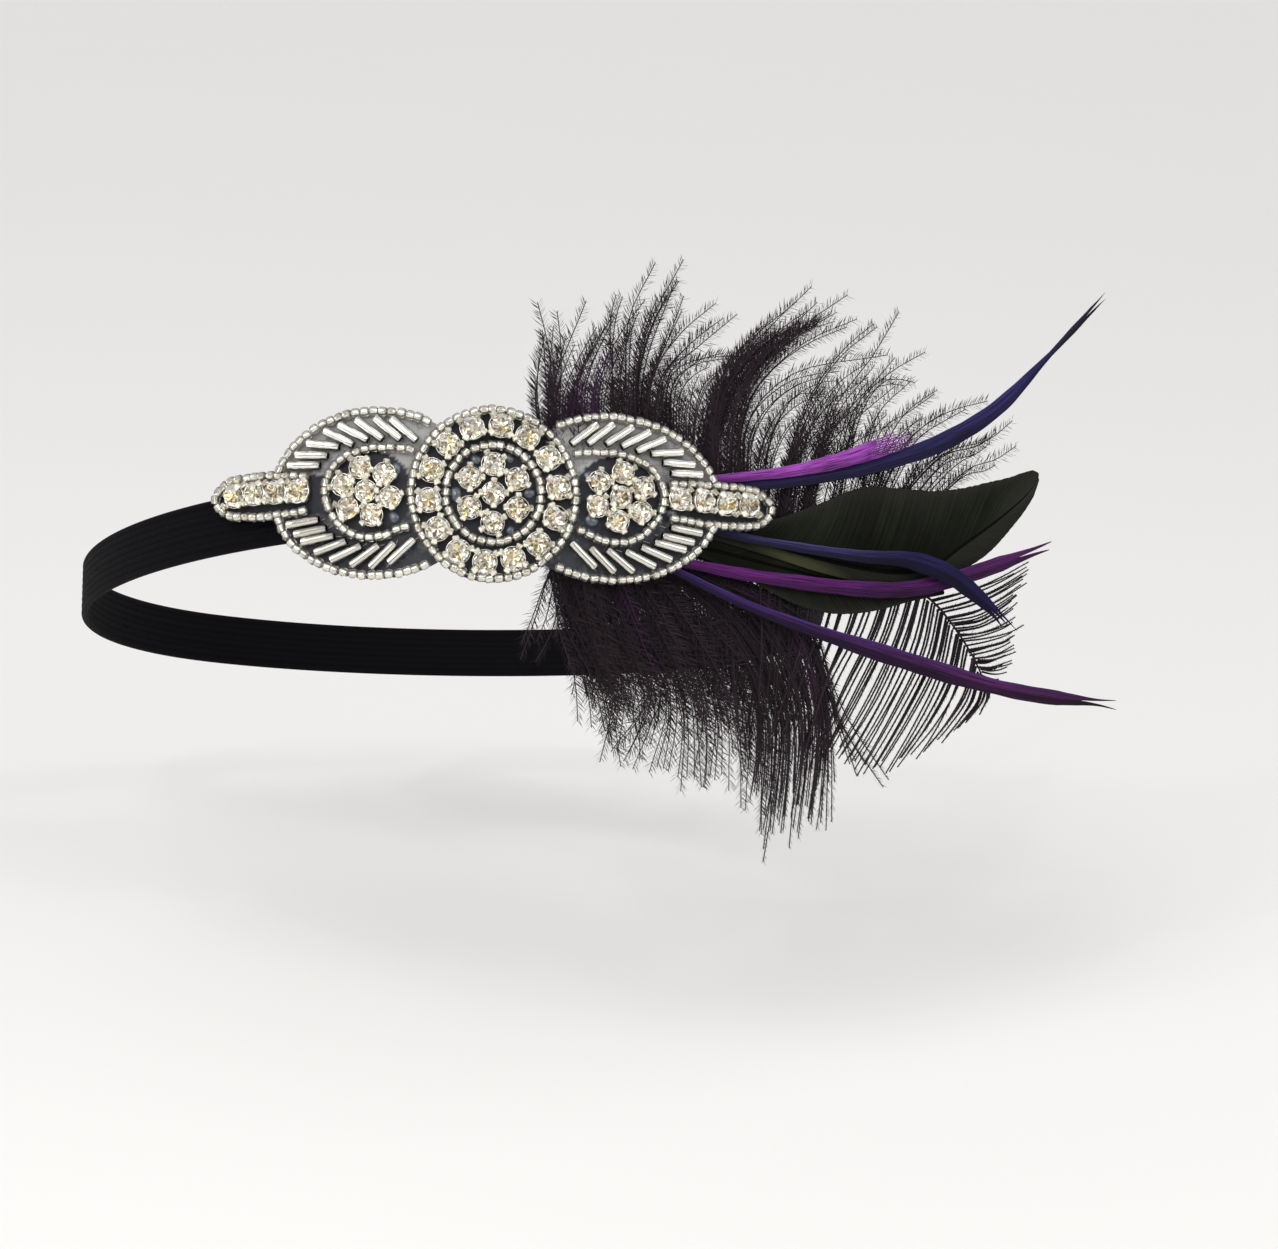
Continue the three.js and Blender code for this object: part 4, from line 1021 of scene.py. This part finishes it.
def coqueMaterial():
    finish = Finish("coque_vane", {"Sheen Weight": 0.004, "Specular IOR Level": 0.05,
                                   "Specular Tint": (0.80, 0.90, 0.62)})
    share, across, lit = (finish.mark(name) for name in ("along", "across", "tones"))
    fromQuill = finish.calc("ABSOLUTE", across)
    barbLine = finish.streaks(finish.times(share, 120.0), finish.times(across, 0.6), 1.0, 3)
    tone = finish.times(barbLine, finish.noise(60, 3))
    body = finish.mix(finish.span(tone, -0.5, 3.0), coque["dark"], coque["green"])
    below = finish.times(finish.calc("LESS_THAN", across, 0.0), lit)  # the lit coque's vane under the quill, for a painted highlight
    # painted highlights on the lit coque: paler under the quill and at the tip, with painted sheen at every
    # vane's edges; gleam is a painted olive highlight streak below the quill
    tip = finish.times(finish.span(share, -3.2, 0.8), lit)
    edge = finish.times(finish.calc("POWER", fromQuill, 5.0), 0.5)
    pale = finish.calc("MAXIMUM", finish.calc("MAXIMUM", finish.times(below, 0.32), edge), tip)
    streak = finish.ramp(share, [(0.10, 0.0), (0.20, 1.0), (0.29, 0.7), (0.38, 0.0)])
    gleam = finish.mix(finish.times(below, streak), finish.mix(pale, body, coque["olive"]), coque["gleam"])
    colour = finish.mix(finish.calc("LESS_THAN", fromQuill, 0.045), gleam, coque["quill"])
    return finish.done(colour, barbLine, (0.40, 0.68), barbLine, 0.25, 0.0002)


def stationCurve(xs, values, at):  # a smooth curve through a column of the table
    slope = np.gradient(values, xs)
    index = np.clip(np.searchsorted(xs, at) - 1, 0, len(xs) - 2)
    width = xs[index + 1] - xs[index]
    t = (at - xs[index]) / width
    return ((2 * t ** 3 - 3 * t ** 2 + 1) * values[index] + (t ** 3 - 2 * t ** 2 + t) * width * slope[index]
            + (3 * t ** 2 - 2 * t ** 3) * values[index + 1] + (t ** 3 - t ** 2) * width * slope[index + 1])


def makeCoques():
    material = coqueMaterial()
    for seed, (node, settings) in enumerate(coques.items(), coque["seed"]):
        rng = np.random.default_rng(seed)
        xs, quill, above, below = np.array(settings["stations"], float).T
        start = np.linspace(xs[0] - coque["slant"], xs[-1], coque["columns"])[:, None]
        v = np.linspace(-1, 1, 2 * coque["rows"] + 1)[None]
        place = np.clip(start + coque["slant"] * np.abs(v) ** 0.8, xs[0], xs[-1])
        wave = 1 + 0.005 * np.sin(start * 2.9 + np.sin(start * 1.1)) + rng.normal(0, 0.002, start.shape)
        high, low = (np.maximum(stationCurve(xs, side, place), coque["narrowest"]) for side in (above, below))
        aside = np.where(v > 0, high, low) * v * np.where(np.abs(v) > 0.9, wave, 1)
        up = stationCurve(xs, quill, place) + aside
        ridge = coque["ridge"] * np.sin(2 * math.pi * start / coque["pitch"]) * np.minimum(np.abs(v) * 4, 1)
        shape = settings["layer"] + coque["camber"] * (np.abs(v) - v ** 2) * 2 + ridge
        points, faces = closedSheet(fanPoint, place, up, shape + coque["wall"] / 2, shape - coque["wall"] / 2)
        share = np.broadcast_to((start - xs[0]) / (xs[-1] - xs[0]), points.shape[:2])
        across = np.broadcast_to(bothSides(v, v), points.shape[:2])
        batch = newBatch()
        addPart(batch, points, faces, tone=settings["lit"], along=share, across=across)
        run = np.linspace(xs[0], xs[-1] - coque["quillShort"], coque["quillSteps"])
        line = fanPoint(run, stationCurve(xs, quill, run), settings["layer"] + coque["quillLift"])
        radius = np.linspace(coque["quillRoot"], coque["quillTip"], coque["quillSteps"])
        addTube(batch, line, radius, coque["quillSides"], hubNormal)
        makeObject(batch, node + "_vane", [material], [node])


makeCoques()
print("coques made")

# Biots: dyed strips with a fold along the middle, split into tongues at the tip; widths by share of length
# a biot's under value is the painted shade below its fold, and its edge ramp the colours of a painted
# highlight along its upper edge
biots = {
    "biot_purple_top": {
        "under": 0.7, "layer": 2.9, "curl": 3, "slot": "purple_biot",
        "split": 0.74, "tongues": 9, "ragged": 0.16,
        "route": [(9, 7.5), (36, 12.3), (51.2, 16.6), (66.6, 22.6), (73, 25.8)],
        "widths": [(0, 1.8), (0.2, 2.1), (0.4, 2.6), (0.6, 3.5), (0.8, 4.4), (0.92, 3.4), (1, 2.0)],
        "dye": [(0.0, (0.16, 0.028, 0.21)), (0.45, (0.26, 0.050, 0.33)), (1.0, (0.19, 0.038, 0.26))],
        "edge": [(0.0, (0.36, 0.10, 0.46)), (1.0, (0.30, 0.075, 0.39))]},
    "biot_navy_top": {
        "under": 0.6, "layer": 2.1, "curl": 9, "slot": "navy_biot",
        "split": 0.93, "tongues": 2, "ragged": 0.03,
        "route": [(9, 5.5), (41, 11), (63.5, 17.2), (79.4, 23.6), (93.5, 32.4), (108, 46), (127, 64.5)],
        "widths": [(0, 1.8), (0.2, 2.6), (0.4, 3.7), (0.5, 4.1), (0.6, 4.2), (0.7, 3.2), (0.76, 2.2),
                   (0.82, 1.1), (0.89, 1.5), (0.95, 1.4), (1, 0.3)],
        "dye": [(0.0, (0.012, 0.009, 0.04)), (0.5, (0.014, 0.011, 0.058)), (0.78, (0.017, 0.015, 0.075)),
                (0.86, (0.012, 0.012, 0.02)), (1.0, (0.010, 0.010, 0.013))],
        "edge": [(0.0, (0.030, 0.026, 0.12)), (1.0, (0.030, 0.026, 0.12))]},
    "biot_navy_middle": {
        "under": 0.35, "layer": 2.9, "curl": 5, "slot": "navy_biot",
        "split": 0.9, "tongues": 3, "ragged": 0.05,
        "route": [(9, -2), (25.5, -4), (54.5, -5.8), (68.3, -5.8), (78.6, -8.3), (85.6, -12.3),
                  (97.5, -21.6)],
        "widths": [(0, 1.6), (0.2, 1.9), (0.36, 2.3), (0.5, 2.8), (0.6, 3.5), (0.68, 4.6), (0.75, 4.9),
                   (0.82, 4.3), (0.9, 2.9), (0.96, 1.6), (1, 0.3)],
        "dye": [(0.0, (0.036, 0.034, 0.11)), (0.45, (0.018, 0.014, 0.065)), (0.62, (0.008, 0.005, 0.040)),
                (1.0, (0.007, 0.005, 0.038))],
        "edge": [(0.0, (0.12, 0.11, 0.30)), (0.45, (0.085, 0.07, 0.19)), (0.66, (0.014, 0.010, 0.068)),
                 (1.0, (0.011, 0.009, 0.060))]},
    "biot_purple_middle": {
        "under": 0.62, "layer": 2.1, "curl": 2, "slot": "purple_biot",
        "split": 0.9, "tongues": 2, "ragged": 0.04,
        "route": [(9, -10.5), (24.6, -12), (55.8, -13.1), (69.9, -12.1), (84.1, -8.3), (110, 1.2)],
        "widths": [(0, 2.2), (0.3, 3.3), (0.5, 3.7), (0.7, 3.8), (0.85, 3.6), (0.92, 2.5), (1, 1.6)],
        "dye": [(0.0, (0.115, 0.014, 0.145)), (0.5, (0.045, 0.005, 0.062)), (1.0, (0.060, 0.011, 0.080))],
        "edge": [(0.0, (0.14, 0.026, 0.18)), (0.5, (0.10, 0.020, 0.13)), (1.0, (0.10, 0.020, 0.13))]},
    "biot_purple_bottom": {
        "under": 0.38, "layer": 2.9, "curl": 6, "slot": "purple_biot",
        "split": 0.9, "tongues": 2, "ragged": 0.03,
        "route": [(2.5, -10.8), (9, -13.6), (27.8, -19.8), (62.4, -27.8), (98, -34.4), (130, -36.4)],
        "widths": [(0, 1.6), (0.12, 2.0), (0.33, 3.0), (0.46, 4.2), (0.6, 4.3), (0.72, 3.6),
                   (0.85, 3.6), (0.9, 2.3), (0.94, 1.4), (1, 0.7)],
        "dye": [(0.0, (0.034, 0.015, 0.10)), (0.35, (0.028, 0.007, 0.050)), (0.75, (0.056, 0.010, 0.065)),
                (1.0, (0.02, 0.007, 0.024))],
        "edge": [(0.0, (0.11, 0.06, 0.34)), (0.5, (0.085, 0.035, 0.22)), (1.0, (0.05, 0.018, 0.07))]}}
biot = {"steps": 120, "fewest": 14, "rows": 6, "seed": 80, "fold": 0.5, "wall": 0.16, "drop": 0.9,
        "dropOver": 0.07, "routeSteps": 240, "overlap": 0.01}


def biotMaterial(name, settings):
    finish = Finish(name, {"Sheen Weight": 0.02, "Sheen Roughness": 0.35, "Specular IOR Level": 0.12})
    share, across = finish.mark("along"), finish.mark("across")
    fibre = finish.streaks(finish.times(share, 5.0), finish.times(across, 5.0), 1.6, 4, 0.65)
    height = finish.calc("ADD", finish.times(across, 0.5), 0.5)
    under = settings["under"]  # the part below the fold lies in painted shade, the part above it is painted a little lighter
    folded = finish.ramp(height, [(0.0, under), (0.42, under), (0.54, 1.15), (1.0, 1.05)])
    streak = finish.ramp(fibre, [(0.38, 0.18), (0.60, 1.4)])
    dyed = finish.mix(1.0, finish.ramp(share, settings["dye"]), streak, "MULTIPLY")
    # painted highlight: the upper edge turns to the edge colours
    rim = finish.calc("MAXIMUM", finish.times(finish.span(across, -1.6, 1.0), fibre), 0.0)
    edge = finish.ramp(share, settings["edge"])
    colour = finish.mix(rim, finish.mix(1.0, dyed, folded, "MULTIPLY"), edge)
    return finish.done(colour, fibre, (0.35, 0.75), fibre, 0.5, 0.0002)


# part of a biot, from first to last along it and from low to high across it
def addStrip(batch, settings, route, seed, first, last, low, high, stray):
    steps = max(int(biot["steps"] * (last - first)), biot["fewest"])
    share = np.linspace(first, last, steps)[:, None]
    spread = np.linspace(0, 1, len(route))
    middle = pointsAt(route, spread, share[:, 0])
    heading = pointsAt(unit(np.gradient(route, axis=0)), spread, share[:, 0])
    normal = np.stack([-heading[:, 1], heading[:, 0]], 1)
    gone = (share - first) / (last - first)
    taper = np.where(high - low < 2, np.sqrt(np.clip(1.03 - gone, 0.02, 1)), 1.0)
    v = np.linspace(-1, 1, 2 * biot["rows"] + 1)[None]
    across = (low + high) / 2 + v * (high - low) / 2 * taper
    ripple = 1 + 0.03 * np.sin(share * 37 + seed) + 0.02 * np.sin(share * 91 + 2 * seed)
    half = np.interp(share, *zip(*settings["widths"])) * ripple / 2
    flat = middle[:, None] + normal[:, None] * (half * across + stray * gone ** 2)[..., None]
    fold = biot["fold"] * (0.5 - np.abs(across)) * np.minimum(half / 2, 1)
    off = settings["layer"] + settings["curl"] * share ** 2 + fold + 0.4 * stray * gone ** 2
    off = off - biot["drop"] * np.clip(1 - share / biot["dropOver"], 0, 1)
    wall = biot["wall"] / 2 * np.minimum(half + 0.3, 1)
    points, faces = closedSheet(fanPoint, flat[..., 0], flat[..., 1], off + wall, off - wall)
    share = np.broadcast_to(share, points.shape[:2])
    addPart(batch, points, faces, along=share, across=bothSides(across, across))


def makeBiots():
    for seed, (node, settings) in enumerate(biots.items()):
        rng = np.random.default_rng(biot["seed"] + seed)
        route = smoothRoute(settings["route"], biot["routeSteps"])
        batch = newBatch()
        split, count = settings["split"], settings["tongues"]
        addStrip(batch, settings, route, seed, 0.0, split, -1, 1, 0.0)
        for index, last in enumerate(1 - settings["ragged"] * rng.random(count)):
            low, high = -1 + 2 * index / count, -1 + 2 * (index + 1) / count
            stray = rng.normal(0, 0.25) + 0.35 * (low + high)
            addStrip(batch, settings, route, seed, split - biot["overlap"], last, low, high, stray)
        makeObject(batch, node + "_strip", [biotMaterial(node + "_dye", settings)], [node])


makeBiots()
print("biots made")

# Floor and light
floor = {"size": 14.0, "level": -0.100, "colours": ((0.885, 0.88, 0.87), (0.86, 0.855, 0.845))}
suns = [("key", (-0.9, -1.0, 1.5), 40.0, 1.10, (1.0, 0.985, 0.96)),
        ("fill", (1.4, -1.2, 1.1), 60.0, 0.30, (0.97, 0.98, 1.0))]
lamps = [("glint", (-0.25, -1.1, 0.75), 0.06, 1.3, (1.0, 0.97, 0.92)),
         ("spark", (0.45, -1.0, 0.9), 0.05, 1.0, (1.0, 0.98, 0.95)),
         ("gleam", (-0.7, -0.7, 0.5), 0.05, 1.0, (1.0, 0.98, 0.95)),
         ("left_box", (-0.55, -0.80, 0.40), 0.45, 1.3, (1.0, 0.985, 0.96)),
         ("right_box", (0.55, -0.75, 0.55), 0.40, 1.2, (1.0, 0.99, 0.97))]
sky = {"horizon": (0.50, 0.50, 0.50), "zenith": (0.95, 0.95, 0.96), "strength": 0.72}


def makeStage():
    half = floor["size"] / 2
    corners = [(x, y, floor["level"]) for x in (-half, half) for y in (-half, half)]
    mesh = bpy.data.meshes.new("floor")
    mesh.from_pydata(corners, [], [(0, 2, 3, 1)])
    sockets = {"Specular IOR Level": 0.2}
    mesh.materials.append(cloudMaterial("pale_floor", sockets, floor["colours"], 3.0, 4, (0.6, 0.75)))
    addObject("floor", mesh)


def hang(name, lamp, place, power, colour):
    lamp.energy, lamp.color = power, colour
    holder = addObject(name, lamp)
    holder.location = place
    holder.rotation_euler = (-Vector(place)).to_track_quat("-Z", "Y").to_euler()


def makeLights():
    for name, place, softness, power, colour in suns:
        lamp = bpy.data.lights.new(name, "SUN")
        lamp.angle = math.radians(softness)
        hang(name, lamp, place, power, colour)
    for name, place, size, power, colour in lamps:
        lamp = bpy.data.lights.new(name, "AREA")
        lamp.shape, lamp.size = "DISK", size
        hang(name, lamp, place, power, colour)
    world = bpy.data.worlds.new("studio")
    bpy.context.scene.world = world
    world.use_nodes = True
    tree = world.node_tree
    background = tree.nodes["Background"]
    background.inputs["Strength"].default_value = sky["strength"]
    direction = tree.nodes.new("ShaderNodeTexCoord")
    parts = tree.nodes.new("ShaderNodeSeparateXYZ")
    blend = tree.nodes.new("ShaderNodeValToRGB")
    blend.color_ramp.elements[0].color = (*sky["horizon"], 1)
    blend.color_ramp.elements[1].color = (*sky["zenith"], 1)
    tree.links.new(direction.outputs["Generated"], parts.inputs[0])
    tree.links.new(parts.outputs["Z"], blend.inputs["Fac"])
    tree.links.new(blend.outputs["Color"], background.inputs["Color"])
    bpy.context.scene.view_settings.view_transform = "Standard"


makeStage()
makeLights()
print("stage and lights made")
